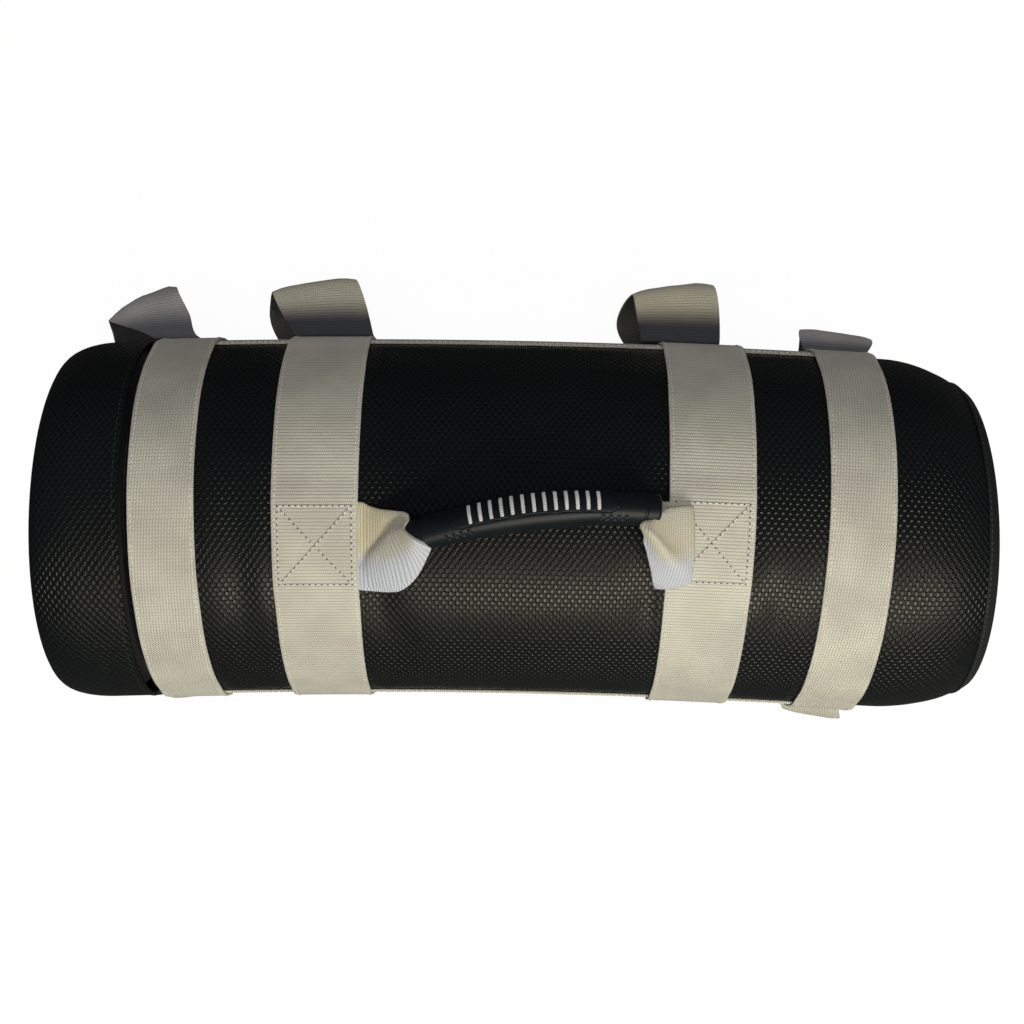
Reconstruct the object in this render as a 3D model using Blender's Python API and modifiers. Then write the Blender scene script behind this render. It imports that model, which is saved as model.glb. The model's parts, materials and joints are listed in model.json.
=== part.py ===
"""Sandbag trainer: a stuffed vinyl cylinder with webbing bands, carry loops and a moulded grip.

The bag lies on its flattened underside along X, seen from above with the grip on top (+Z).
The lid with its zip is at -X. Everything soft is modelled round and straight about the bag's own
axis first, and is then settled: pressed flat underneath and bowed as the photographed bag is.
"""
import math

import bmesh
import bpy
from mathutils import Matrix, Vector

# Driving sizes of the bag, in metres
cover_radius = 0.1115
cover_wall = 0.0012
fit_gap = 0.0003
underside_press = 0.003
bow_depth = 0.00794
bow_lean_end = 0.200
left_end_lean_share = 0.0
right_end_lean_share = -0.4

# Webbing, placed from the two inner bands outwards
webbing_thickness = 0.0014
wide_webbing_width = 0.0500
narrow_webbing_width = 0.0385
inner_left_reach = 0.1151
inner_right_reach = 0.1132
outer_left_step = 0.0886
outer_right_step = 0.0867
rail_angle_front = math.radians(83.5)
rail_angle_back = math.radians(-88.0)

# Carry loops: how far each rises, and how far its feet, its crown and its further leg stand
# beside the middle of its band
front_inner_left_rise = 0.0410
front_inner_left_shift = -0.0040
front_inner_left_lean = -0.0150
front_inner_left_far_lean = -0.0050
front_inner_right_rise = 0.0430
front_inner_right_shift = -0.0125
front_inner_right_lean = -0.0040
front_inner_right_far_lean = -0.0060
front_outer_left_rise = 0.0290
front_outer_left_shift = -0.0115
front_outer_left_lean = -0.0270
front_outer_left_far_lean = -0.0060
front_outer_right_rise = 0.0220
front_outer_right_shift = 0.0020
front_outer_right_lean = 0.0030
front_outer_right_far_lean = 0.0080
back_outer_left_rise = 0.0170
back_outer_left_lean = -0.0120
back_outer_right_rise = 0.0240
back_outer_right_lean = 0.0090

# Closed end, from the outer right band
shoulder_step = 0.0296
shoulder_length = 0.0543
shoulder_radius = 0.100
binding_leg = 0.0062
panel_recess = 0.0045
panel_dome = 0.0040

# Lid, from the outer left band
zip_step = 0.0220
zip_slot = 0.0050
lid_length = 0.0561
lid_radius_step = 0.0021
lid_corner_depth = 0.028
lid_corner_drop = 0.010
lid_rim_fold = 0.0050
lid_dome = 0.0015
hinge_tape_width = 0.040

# Zip
coil_sink = 0.0072
coil_radius = 0.0010
tape_thickness = 0.0006
tape_width = 0.0130
tape_flat = 0.0054
hinge_half_angle = math.radians(12.0)
parking_angle = math.radians(16.0)
slider_width = 0.0090
slider_length = 0.0120
slider_plate = 0.0013
slider_flange = 0.0015
slider_clearance = 0.0005
lug_width = 0.0018
lug_wall = 0.0009
puller_width = 0.0042
puller_length = 0.0140
puller_thickness = 0.0010
puller_bar = 0.0009

# Grip
tab_run_left = 0.0262
tab_run_right = 0.0033
grip_left_y = -0.0138
grip_right_y = 0.0062
grip_axis_height = 0.0125
grip_lean = math.radians(40.0)
grip_rise = 0.0110
grip_radius_middle = 0.0110
grip_radius_end = 0.0088
grip_end_round = 0.0022
grip_ring_place = 0.0090
grip_ring_width = 0.0016
grip_ring_depth = 0.0005
panel_rise = 0.0005
panel_half_angle = math.radians(47.0)
panel_half_length = 0.0440
strap_reach = 0.0040
strap_width = 0.0110
strap_thickness = 0.0044

# Stripe insert of the grip
stripe_count = 13
stripe_pitch = 0.00605
stripe_width = 0.0022
stripe_half_angle = math.radians(40.0)
stripe_proud = 0.0003
stripe_root_radius = 0.0070
spine_half_angle = math.radians(13.0)
spine_thickness = 0.0014
spine_inset = 0.0003

# Handle tabs
tab_angle_left = math.radians(-8.8)
tab_angle_right = math.radians(-5.8)
tab_width = 0.0488
tab_tuck_inset = 0.0010
tab_fold_reach = 0.0175
tab_fold_radius = 0.0024

# Contents
liner_wall = 0.0004
dome_depth = 0.068
neck_clearance = 0.0049
neck_radius = 0.018
neck_length = 0.015
neck_step = 0.006
liner_end_round = 0.018
tie_radius = 0.0014
tie_place = 0.006

# Fineness of the facets
turn_steps = 40
inner_steps = 20
shoulder_steps = 3
corner_steps = 3
face_steps = 2
dome_steps = 5
fold_steps = 4
grip_steps = 5
grip_sides = 16
strap_steps = 12
stripe_arc_steps = 4
coil_corners = 4
tie_corners = 6
bevel_steps = 2
middle_runs = 3
cut_overrun = 0.002
sharp_angle = math.radians(35.0)
panel_edge_angle = math.radians(2.5)
weld_share = 1 / 100
turn_weld_share = 1 / 30
facet_margin_share = 1 / 50
slider_bevel_share = 1 / 4
puller_bevel_share = 1 / 5
ring_edge_share = 1 / 8
grip_end_shares = (0, 1 / 4, 1)

# Values worked out from the sizes above
turn_angle = 2 * math.pi / turn_steps
layer = fit_gap + webbing_thickness
inner_left_centre = -inner_left_reach
inner_right_centre = inner_right_reach
outer_left_centre = inner_left_centre - outer_left_step
outer_right_centre = inner_right_centre + outer_right_step
shoulder_start = outer_right_centre + shoulder_step
right_reach = shoulder_start + shoulder_length
zip_x = outer_left_centre - zip_step
left_reach = lid_length - zip_x
bow_radius = left_reach ** 2 / (2 * bow_depth)
lid_radius = cover_radius + lid_radius_step
press_ratio = 1 - underside_press / cover_radius
lid_press_ratio = ((cover_radius + layer) * press_ratio - fit_gap) / lid_radius
rail_half_angle = narrow_webbing_width / 2 / cover_radius
tab_half_angle = tab_width / 2 / cover_radius
tab_tuck = wide_webbing_width - tab_tuck_inset
grip_left_x = inner_left_centre + wide_webbing_width / 2 + tab_run_left
grip_right_x = inner_right_centre - wide_webbing_width / 2 - tab_run_right
tube_mouth_x = zip_x + zip_slot / 2
lid_edge_x = zip_x - zip_slot / 2
coil_path_radius = cover_radius - coil_sink
hinge_angle = -math.pi / 2
slider_top = coil_radius + slider_clearance + slider_plate
puller_clear = math.hypot(puller_bar, puller_thickness) / 2 + fit_gap
puller_height = slider_top + puller_clear


# Places in and on the bag


def facet_share(angle):
    """Share by which the bag's flat facets lie inside its round outline at an angle."""
    from_middle = (angle % turn_angle) - turn_angle / 2
    return math.cos(turn_angle / 2) / math.cos(from_middle)


def polar(x, angle, radius):
    """Place at an angle from the top, positive towards +Y, on the facets of a radius."""
    reach = radius * facet_share(angle)
    return Vector((x, reach * math.sin(angle), reach * math.cos(angle)))


def facet_corners(start, end):
    """Angles from start to end, with every corner of the bag's facets between them."""
    margin = turn_angle * facet_margin_share
    first = math.ceil((start + margin) / turn_angle)
    last = math.floor((end - margin) / turn_angle)
    return [start, *(step * turn_angle for step in range(first, last + 1)), end]


def press(point, share=1.0, ratio=press_ratio):
    """Flattens the underside to a ratio of its radius, in full or by a share of the way."""
    reach = math.hypot(point.y, point.z)
    if point.z >= 0 or reach == 0:
        return point.copy()
    factor = min(1.0, ratio * reach / -point.z)
    factor = 1 + (factor - 1) * share
    return Vector((point.x, point.y * factor, point.z * factor))


def bow_lean(x):
    """Slope of the bag's cross-sections at a place along it; the soft ends hardly lean."""
    end_share = left_end_lean_share if x < 0 else right_end_lean_share
    fade = smooth_share((abs(x) - bow_lean_end) / (left_reach - bow_lean_end))
    return x / bow_radius * (1 + (end_share - 1) * fade)


def bow(point):
    """Bends the straight bag so that both ends reach towards -Y."""
    return Vector((
        point.x + bow_lean(point.x) * point.y,
        point.y - point.x ** 2 / (2 * bow_radius),
        point.z,
    ))


def settle(point):
    """Place of a point of the straight, round bag on the bag as it lies."""
    return bow(press(point))


def settle_lid(point):
    """The same for the lid, which is pressed a little more because it is wider."""
    return bow(press(point, ratio=lid_press_ratio))


def smooth_share(value):
    """Eases a share from 0 to 1."""
    value = min(1.0, max(0.0, value))
    return value * value * (3 - 2 * value)


# Objects, materials and collections


def clear_scene():
    for item in list(bpy.data.objects):
        bpy.data.objects.remove(item, do_unlink=True)


def make_collection(name):
    collection = bpy.data.collections.new(name)
    bpy.context.scene.collection.children.link(collection)
    return collection


def make_material(name, colour, roughness, metallic=0.0):
    material = bpy.data.materials.new(name)
    material.use_nodes = True
    shader = material.node_tree.nodes["Principled BSDF"]
    shader.inputs["Base Color"].default_value = (*colour, 1.0)
    shader.inputs["Roughness"].default_value = roughness
    shader.inputs["Metallic"].default_value = metallic
    return material


def make_empty(name, place, parent=None, turn=None):
    empty = bpy.data.objects.new(name, None)
    parts.objects.link(empty)
    matrix = turn.to_4x4() if turn else Matrix.Identity(4)
    matrix.translation = place
    empty.matrix_world = matrix
    if parent:
        hold(empty, parent)
    return empty


def hold(item, parent):
    """Parents an object and keeps it where it is."""
    bpy.context.view_layer.update()
    item.parent = parent
    item.matrix_parent_inverse = parent.matrix_world.inverted()


def finish_mesh(mesh):
    """Welds a mesh, faces it outwards and shades it smooth up to the sharp angle."""
    work = bmesh.new()
    work.from_mesh(mesh)
    bmesh.ops.remove_doubles(work, verts=work.verts, dist=fit_gap * weld_share)
    bmesh.ops.recalc_face_normals(work, faces=work.faces)
    work.to_mesh(mesh)
    work.free()
    mesh.shade_smooth()
    mesh.set_sharp_from_angle(angle=sharp_angle)


def add_part(name, mesh, material, parent, frame=None):
    """Adds a named piece that carries a finished mesh, placed by a frame if there is one."""
    mesh.name = name
    finish_mesh(mesh)
    mesh.materials.clear()
    mesh.materials.append(material)
    item = bpy.data.objects.new(name, mesh)
    parts.objects.link(item)
    if frame:
        item.matrix_world = frame
    hold(item, parent)
    return item


def evaluated_mesh(item):
    """Mesh of an object with its modifiers, in place of the object."""
    bpy.context.view_layer.update()
    graph = bpy.context.evaluated_depsgraph_get()
    mesh = bpy.data.meshes.new_from_object(item.evaluated_get(graph))
    mesh.transform(item.matrix_world)
    bpy.data.objects.remove(item, do_unlink=True)
    return mesh


def move_points(mesh, place):
    """Sends every point of a mesh through a function."""
    for vertex in mesh.vertices:
        vertex.co = place(vertex.co)


def add_tool(name, mesh, parent, frame):
    """Adds a hidden solid that another piece is cut or joined with."""
    finish_mesh(mesh)
    tool = bpy.data.objects.new(name, mesh)
    tool.hide_render = True
    tool.display_type = "WIRE"
    cutters.objects.link(tool)
    tool.matrix_world = frame
    hold(tool, parent)
    return tool


def use_tool(item, tool, operation="DIFFERENCE"):
    """Cuts or joins a piece with a hidden solid."""
    modifier = item.modifiers.new(tool.name, "BOOLEAN")
    modifier.operation = operation
    modifier.solver = "EXACT"
    modifier.object = tool


# Turned shapes


def offset_line(line, distance):
    """Moves an open line of (x, radius) points to its right-hand side by a distance."""
    moved = []
    for index, point in enumerate(line):
        before = line[max(index - 1, 0)]
        after = line[min(index + 1, len(line) - 1)]
        sides = []
        for start, end in ((before, point), (point, after)):
            run = math.dist(start, end)
            if run > 0:
                sides.append(((end[1] - start[1]) / run, -(end[0] - start[0]) / run))
        side = Vector(sides[0]) + Vector(sides[-1])
        scale = 2 * distance / side.length_squared
        moved.append((point[0] + side.x * scale, point[1] + side.y * scale))
    return moved


def wall_outline(line, wall):
    """Closed outline of a wall whose outer line runs along +X."""
    return line + offset_line(line, wall)[::-1]


def turned_mesh(name, outline, closed, steps):
    """Turns an outline of (x, radius) points about the bag's axis."""
    mesh = bpy.data.meshes.new(name)
    points = [polar(x, 0, radius) for x, radius in outline]
    edges = [(index, index + 1) for index in range(len(points) - 1)]
    if closed:
        edges.append((len(points) - 1, 0))
    mesh.from_pydata(points, edges, [])
    item = bpy.data.objects.new(name, mesh)
    parts.objects.link(item)
    screw = item.modifiers.new("turn", "SCREW")
    screw.axis = "X"
    screw.angle = -2 * math.pi
    screw.steps = steps
    screw.render_steps = steps
    screw.use_merge_vertices = True
    screw.merge_threshold = fit_gap * turn_weld_share
    return evaluated_mesh(item)


def turned_part(
    name, outline, material, parent, closed=True, steps=turn_steps, place=settle
):
    """A full turned piece, settled as it lies."""
    mesh = turned_mesh(name, outline, closed, steps)
    move_points(mesh, place)
    return add_part(name, mesh, material, parent)


# Lofted shapes


def loft_mesh(name, rings, closed_path=False):
    """Closed skin over rings of points that all have the same count."""
    work = bmesh.new()
    rows = [[work.verts.new(point) for point in ring] for ring in rings]
    pairs = list(zip(rows, rows[1:]))
    if closed_path:
        pairs.append((rows[-1], rows[0]))
    for near, far in pairs:
        for index in range(len(near)):
            following = (index + 1) % len(near)
            work.faces.new((near[index], near[following], far[following], far[index]))
    if not closed_path:
        work.faces.new(rows[0])
        work.faces.new(rows[-1])
    mesh = bpy.data.meshes.new(name)
    work.to_mesh(mesh)
    work.free()
    return mesh


def arc_ring(x_low, x_high, angle, inner, outer):
    """Four corners of a flat strap's section at one angle round the bag."""
    corners = ((x_low, inner), (x_high, inner), (x_high, outer), (x_low, outer))
    return [settle(polar(x, angle, radius)) for x, radius in corners]


def swept_mesh(name, outline, start, end, place=settle):
    """Closed skin of an outline of (x, radius) points swept round the bag between two angles."""
    rings = []
    for angle in facet_corners(start, end):
        rings.append([place(polar(x, angle, radius)) for x, radius in outline])
    return loft_mesh(name, rings)


# Webbing bands and rails


def stands_over(angle, crossings):
    """Whether a facet corner of a band is lifted over one of the straps under it."""
    for centre, half_angle in crossings:
        away = abs((angle - centre + math.pi) % (2 * math.pi) - math.pi)
        if away < half_angle + turn_angle:
            return True
    return False


def band_inner_radius(angle, crossings):
    """Inner radius of a band at an angle, between the heights of its two nearest corners."""
    step = angle / turn_angle
    low = math.floor(step)
    heights = [layer * stands_over(corner * turn_angle, crossings) for corner in (low, low + 1)]
    lift = heights[0] + (heights[1] - heights[0]) * (step - low)
    return cover_radius + fit_gap + lift


def add_band(name, centre, width, crossings, parent):
    rings = []
    for step in range(turn_steps):
        angle = step * turn_angle
        inner = band_inner_radius(angle, crossings)
        outer = inner + webbing_thickness
        rings.append(arc_ring(centre - width / 2, centre + width / 2, angle, inner, outer))
    return add_part(name, loft_mesh(name, rings, closed_path=True), webbing, parent)


def add_rail(name, centre_angle, parent):
    """Strap along the bag, sewn down under the bands."""
    angles = facet_corners(centre_angle - rail_half_angle, centre_angle + rail_half_angle)
    inner = cover_radius + fit_gap
    rings = []
    for x in rail_stations():
        low = [settle(polar(x, angle, inner)) for angle in angles]
        high = [settle(polar(x, angle, inner + webbing_thickness)) for angle in angles]
        rings.append(low + high[::-1])
    return add_part(name, loft_mesh(name, rings), webbing, parent)


# Carry loops

# Half of a loop's path, from its sewn end to its crown: facets away from the loop's middle, and
# share of its rise
loop_path_shares = (
    (1.00, 0.00), (2.00, 0.00), (2.16, 0.05), (2.16, 0.18), (2.08, 0.40),
    (1.92, 0.62), (1.60, 0.83), (0.90, 0.97), (0.00, 1.00),
)


class Loop:
    """Sizes of one carry loop.

    Its crown leans along X by `lean`, most of it low down if `haste` is above 1, and the leg
    further round the bag by `far_lean` more. The crown is slanted, so that one edge of the
    webbing rises by a share more than the other, and the webbing is narrower by a share where it
    leaves the band. Its feet are sewn `foot_shift` beside the band's middle.
    """

    def __init__(self, name, band_centre, width, middle, rise, foot_shift, lean, far_lean, haste,
                 slant, pinch):
        self.name = name
        self.centre = band_centre + foot_shift
        self.width = width
        self.middle = round(math.radians(middle) / turn_angle) * turn_angle
        self.rise = rise
        self.lean = lean
        self.haste = haste
        self.far_lean = far_lean
        self.slant_share = slant
        self.pinch_share = pinch


def loop_mesh(loop, crossings):
    """Sheet of a loop's webbing, thickened both ways."""
    half = [(-steps, up) for steps, up in loop_path_shares]
    whole = half + [(-steps, up) for steps, up in half[-2::-1]]
    reach_steps = -half[1][0]
    lift = webbing_thickness + fit_gap + webbing_thickness / 2
    work = bmesh.new()
    rows = []
    for steps, up in whole:
        angle = loop.middle + steps * turn_angle
        base = band_inner_radius(angle, crossings) + lift
        far_share = smooth_share((steps / reach_steps + 1) / 2)
        lean = loop.lean * (1 - (1 - up) ** loop.haste)
        x_middle = loop.centre + lean + up * loop.far_lean * far_share
        half_width = loop.width / 2 * (1 - loop.pinch_share * (1 - smooth_share(2 * up)))
        row = []
        for side in (-1, 1):
            height = up * loop.rise * (1 + side * loop.slant_share * up)
            place = polar(x_middle + side * half_width, angle, base + height)
            row.append(work.verts.new(settle(place)))
        rows.append(row)
    for near, far in zip(rows, rows[1:]):
        work.faces.new((near[0], near[1], far[1], far[0]))
    mesh = bpy.data.meshes.new(loop.name)
    work.to_mesh(mesh)
    work.free()
    item = bpy.data.objects.new(loop.name, mesh)
    parts.objects.link(item)
    thicken = item.modifiers.new("thickness", "SOLIDIFY")
    thicken.thickness = webbing_thickness
    thicken.offset = 0
    thicken.use_even_offset = True
    return evaluated_mesh(item)


# The bag's cover and its closed end


def shoulder_line():
    """Outer line of the cover from the shoulder to the closed end's rim."""
    end = right_reach - fit_gap - webbing_thickness / 2
    line = []
    for step in range(1, shoulder_steps + 1):
        x = shoulder_start + (end - shoulder_start) * step / shoulder_steps
        drop = shoulder_radius - math.sqrt(shoulder_radius ** 2 - (x - shoulder_start) ** 2)
        line.append((x, cover_radius - drop))
    return line


def rail_stations():
    """Places along the bag where the bow is followed: the bands' edges and between them."""
    stations = []
    for centre, width in band_places:
        stations += [centre - width / 2, centre + width / 2]
    stations += middle_stations()
    return sorted(stations)


def middle_stations():
    """Places along the bag between the two inner bands."""
    run = inner_right_centre - inner_left_centre
    return [inner_left_centre + run * step / middle_runs for step in range(1, middle_runs)]


def cover_stations():
    """Places along the bag where the cover follows the bow."""
    return sorted([centre for centre, _ in band_places] + middle_stations())


def add_cover(parent):
    line = [(tube_mouth_x, cover_radius)]
    line += [(x, cover_radius) for x in cover_stations()]
    line += [(shoulder_start, cover_radius)] + shoulder_line()
    turned_part("cover_tube", wall_outline(line, cover_wall), vinyl, parent)
    return line[-1]


def add_closed_end(rim, parent):
    """End panel with its outward flange, and the binding folded over both edges."""
    rim_x, rim_radius = rim
    flange_outer = rim_radius - cover_wall - fit_gap
    back_x = rim_x - binding_leg - panel_recess
    outer_line = [(back_x + panel_dome, 0.0)]
    face_radius = flange_outer - cover_wall
    for step in range(1, face_steps + 1):
        share = step / face_steps
        outer_line.append((back_x + panel_dome * (1 - share ** 2), face_radius * share))
    outer_line.append((rim_x, face_radius))
    inner_line = [(rim_x, flange_outer), (back_x - cover_wall, flange_outer)]
    for step in range(face_steps - 1, 0, -1):
        share = step / face_steps
        x = back_x - cover_wall + panel_dome * (1 - share ** 2)
        inner_line.append((x, face_radius * share))
    inner_line.append((back_x - cover_wall + panel_dome, 0.0))
    turned_part("end_panel", outer_line + inner_line, vinyl, parent, closed=False)

    leg_start = rim_x - binding_leg
    slope = (rim_radius - shoulder_line()[-2][1]) / (rim_x - shoulder_line()[-2][0])
    outer_start = rim_radius - slope * binding_leg
    inner_radius = face_radius - fit_gap
    wall = webbing_thickness / 2
    outline = [
        (leg_start, outer_start + fit_gap),
        (leg_start, outer_start + fit_gap + wall),
        (rim_x + fit_gap + wall, rim_radius + fit_gap + wall),
        (rim_x + fit_gap + wall, inner_radius - wall),
        (leg_start, inner_radius - wall),
        (leg_start, inner_radius),
        (rim_x + fit_gap, inner_radius),
        (rim_x + fit_gap, rim_radius + fit_gap),
    ]
    turned_part("end_binding", outline, binding_tape, parent)


# Lid, zip and contents


def lid_line():
    """Outer line of the lid's skirt, from its inner fold at the rim to its open edge."""
    rim_x = -left_reach
    rim_radius = lid_radius - lid_corner_drop
    line = [(rim_x, rim_radius - lid_rim_fold)]
    for step in range(corner_steps + 1):
        angle = math.pi / 2 * step / corner_steps
        x = rim_x + lid_corner_depth * (1 - math.cos(angle))
        radius = rim_radius + lid_corner_drop * math.sin(angle)
        line.append((x, radius))
    line.append((lid_edge_x, lid_radius))
    return line


def add_lid(parent):
    outline = wall_outline(lid_line(), cover_wall)
    turned_part("lid_skirt", outline, vinyl, parent, place=settle_lid)
    edge = lid_radius - lid_corner_drop - lid_rim_fold - fit_gap
    face_x = -left_reach
    outline = []
    for step in range(face_steps + 1):
        share = step / face_steps
        outline.append((face_x - lid_dome * (1 - share ** 2), edge * share))
    outline += [(x + cover_wall, radius) for x, radius in outline[::-1]]
    turned_part("lid_panel", outline[::-1], vinyl, parent, closed=False, place=settle_lid)


def tape_point(point, ratio=press_ratio):
    """Settles a zip tape: pressed at its sewn edge, round along the coil."""
    reach = math.hypot(point.y, point.z)
    low = coil_path_radius - coil_radius - fit_gap - tape_thickness
    high = cover_radius - cover_wall - fit_gap
    share = smooth_share((reach - low) / (high - low))
    return bow(press(point, share, ratio))


def lid_tape_point(point):
    """The same for the tape in the lid."""
    return tape_point(point, lid_press_ratio)


def zip_arc_angles(first_side, last_side):
    """Start and end angle of a zip run from one side of the hinge, round the top, to the other."""
    return hinge_angle + first_side, hinge_angle + 2 * math.pi - last_side


def tape_outline(side):
    """Section of a zip tape on one side of the zip plane: flat at the coil, rising to the fabric."""
    high = cover_radius - cover_wall - fit_gap
    if side < 0:
        high = lid_radius - cover_wall - fit_gap
    low = coil_path_radius - coil_radius - fit_gap
    start = fit_gap if side > 0 else -fit_gap
    line = [
        (zip_x + start, low),
        (zip_x + side * tape_flat, low),
        (zip_x + side * tape_width, high),
    ]
    lower = [(x, radius - tape_thickness) for x, radius in line]
    return line + lower[::-1]


def add_swept(name, outline, angles, place, material, parent):
    return add_part(name, swept_mesh(name, outline, *angles, place), material, parent)


def coil_outline(side):
    """Section of one half of the zip's coil."""
    centre = zip_x + side * (coil_radius + fit_gap / 2)
    points = []
    for corner in range(coil_corners):
        angle = 2 * math.pi * corner / coil_corners
        points.append((
            centre + coil_radius * math.cos(angle),
            coil_path_radius + coil_radius * math.sin(angle),
        ))
    return points


def add_zip(bag, lid):
    whole = zip_arc_angles(hinge_half_angle, hinge_half_angle)
    shorter = zip_arc_angles(hinge_half_angle, hinge_half_angle + parking_angle)
    add_swept("tube_zip_tape", tape_outline(1), whole, tape_point, zip_tape, bag)
    add_swept("tube_zip_coil", coil_outline(1), whole, bow, zip_coil, bag)
    add_swept("lid_zip_tape", tape_outline(-1), shorter, lid_tape_point, zip_tape, lid)
    add_swept("lid_zip_coil", coil_outline(-1), shorter, bow, zip_coil, lid)


def add_hinge_tape(parent):
    """Short strip, fixed to the tube, that the lid turns on."""
    half = hinge_tape_width / 2 / cover_radius
    outer = cover_radius - cover_wall - fit_gap
    low = zip_x + fit_gap
    high = tube_mouth_x + tape_width
    outline = ((low, outer - tape_thickness), (high, outer - tape_thickness), (high, outer), (low, outer))
    angles = (hinge_angle - half, hinge_angle + half)
    add_swept("lid_hinge_tape", outline, angles, settle, zip_tape, parent)


def box_mesh(name, size, centre, bevel=0.0):
    """Box with its size and centre, and rounded edges."""
    work = bmesh.new()
    bmesh.ops.create_cube(work, size=1)
    bmesh.ops.scale(work, vec=size, verts=work.verts)
    bmesh.ops.translate(work, vec=centre, verts=work.verts)
    if bevel:
        bmesh.ops.bevel(
            work, geom=work.edges, offset=bevel, segments=bevel_steps, affect="EDGES", profile=0.5
        )
    mesh = bpy.data.meshes.new(name)
    work.to_mesh(mesh)
    work.free()
    return mesh


def lug_mesh():
    """Arch on the slider that the puller's bar turns in."""
    half_length = puller_clear + lug_wall
    foot = slider_top - slider_plate / 2
    crown = slider_top + 2 * puller_clear
    side_view = (
        (-half_length, foot), (-half_length, crown + lug_wall), (half_length, crown + lug_wall),
        (half_length, foot), (puller_clear, foot), (puller_clear, crown),
        (-puller_clear, crown), (-puller_clear, foot),
    )
    rings = [[Vector((side * lug_width / 2, y, z)) for y, z in side_view] for side in (-1, 1)]
    return loft_mesh("zip_slider_lug", rings)


def add_slider(seat):
    """Saddle that runs over both coils."""
    frame = seat.matrix_world.copy()
    track_top = coil_radius + slider_clearance
    height = slider_top + coil_radius + fit_gap - slider_clearance
    size = (slider_width, slider_length, height)
    bevel = slider_plate * slider_bevel_share
    body = box_mesh("zip_slider", size, (0, 0, slider_top - height / 2), bevel)
    slider = add_part("zip_slider", body, zinc, seat, frame)
    track_height = track_top + coil_radius + cut_overrun
    track = box_mesh(
        "zip_slider_track",
        (slider_width - 2 * slider_flange, slider_length + 2 * cut_overrun, track_height),
        (0, 0, track_top - track_height / 2),
    )
    use_tool(slider, add_tool("zip_slider_track", track, seat, frame))
    use_tool(slider, add_tool("zip_slider_lug", lug_mesh(), seat, frame), "UNION")


def add_puller(axis):
    """Flat puller that hangs from its bar, which turns in the slider's arch."""
    frame = axis.matrix_world.copy()
    size = (puller_width, puller_length, puller_thickness)
    middle = puller_bar / 2 - puller_length / 2
    plate = box_mesh("zip_puller", size, (0, middle, 0), puller_thickness * puller_bevel_share)
    puller = add_part("zip_puller", plate, zinc, axis, frame)
    eye_start = puller_bar / 2
    eye_end = math.hypot(puller_clear + lug_wall, puller_clear + lug_wall) + fit_gap
    eye = box_mesh(
        "zip_puller_eye",
        (lug_width + 2 * fit_gap, eye_end - eye_start, puller_thickness + 2 * cut_overrun),
        (0, -(eye_start + eye_end) / 2, 0),
    )
    use_tool(puller, add_tool("zip_puller_eye", eye, axis, frame))


def liner_line():
    """Outer line of the sand liner, from the middle of its closed end to where its neck starts."""
    radius = cover_radius - cover_wall - fit_gap
    face_x = right_reach - binding_leg - panel_recess - 2 * cover_wall - 2 * fit_gap
    flat_radius = shoulder_line()[-1][1] - 2 * cover_wall - 2 * fit_gap - liner_end_round
    line = [(face_x, 0.0), (face_x, flat_radius)]
    for step in range(1, corner_steps + 1):
        angle = math.pi / 2 * step / corner_steps
        x = face_x - liner_end_round * (1 - math.cos(angle))
        line.append((x, flat_radius + liner_end_round * math.sin(angle)))
    line.append((shoulder_start - liner_end_round, radius))
    angles = [math.pi / 2 * step / dome_steps for step in range(dome_steps)]
    angles = [angle for angle in angles if radius * math.cos(angle) > neck_radius]
    neck_start = cover_wall + neck_clearance + neck_length + neck_step - left_reach
    dome_start = neck_start + dome_depth * math.sin(angles[-1])
    stations = cover_stations()[::-1]
    line += [(x, radius) for x in stations if dome_start < x < outer_right_centre]
    for angle in angles:
        line.append((dome_start - dome_depth * math.sin(angle), radius * math.cos(angle)))
    return line


def add_contents(parent):
    """Liner with its open neck, the tie round the neck, and the sand."""
    body = liner_line()
    neck_x = body[-1][0] - neck_step
    outer = body + [(neck_x, neck_radius), (neck_x - neck_length, neck_radius)]
    inner = offset_line(outer, -liner_wall)
    turned_part(
        "sand_liner", outer + inner[::-1], liner_cloth, parent, closed=False, steps=inner_steps
    )

    fill = offset_line(body, -liner_wall - fit_gap)
    fill.append((fill[-1][0] - fit_gap, 0.0))
    turned_part("sand_fill", fill, sand, parent, closed=False, steps=inner_steps)

    tie = []
    for corner in range(tie_corners):
        angle = 2 * math.pi * corner / tie_corners
        tie.append((
            neck_x - tie_place + tie_radius * math.cos(angle),
            neck_radius + fit_gap + tie_radius * (1 + math.sin(angle)),
        ))
    turned_part("liner_tie", tie, tie_cord, parent, steps=inner_steps)


# Grip


def grip_frame():
    """Left and right end of the grip's swing axis, and the turn of its own frame."""
    ends = []
    for x, y in ((grip_left_x, grip_left_y), (grip_right_x, grip_right_y)):
        height = math.sqrt(cover_radius ** 2 - y ** 2) + grip_axis_height
        ends.append(Vector((x, y, height)))
    left, right = ends
    along = (right - left).normalized()
    across = Vector((0, 0, 1)).cross(along).normalized()
    up = along.cross(across)
    outward = up * math.cos(grip_lean) + across * math.sin(grip_lean)
    side = outward.cross(along)
    turn = Matrix((along, side, outward)).transposed()
    return left, right, turn


def grip_arc():
    """Half chord, radius and half angle of the grip's arched centre line."""
    left, right, _ = grip_frame()
    half_chord = (right - left).length / 2 - strap_reach
    radius = (half_chord ** 2 + grip_rise ** 2) / (2 * grip_rise)
    return half_chord, radius, math.asin(half_chord / radius)


def grip_place(bend_angle, around, reach):
    """Place in the grip's frame, from the angle along the arch and a polar place round it."""
    half_chord, radius, half_angle = grip_arc()
    middle = half_chord + strap_reach
    rise = radius + reach * math.cos(around)
    return Vector((
        middle + rise * math.sin(bend_angle),
        reach * math.sin(around),
        rise * math.cos(bend_angle) - radius * math.cos(half_angle),
    ))


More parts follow.
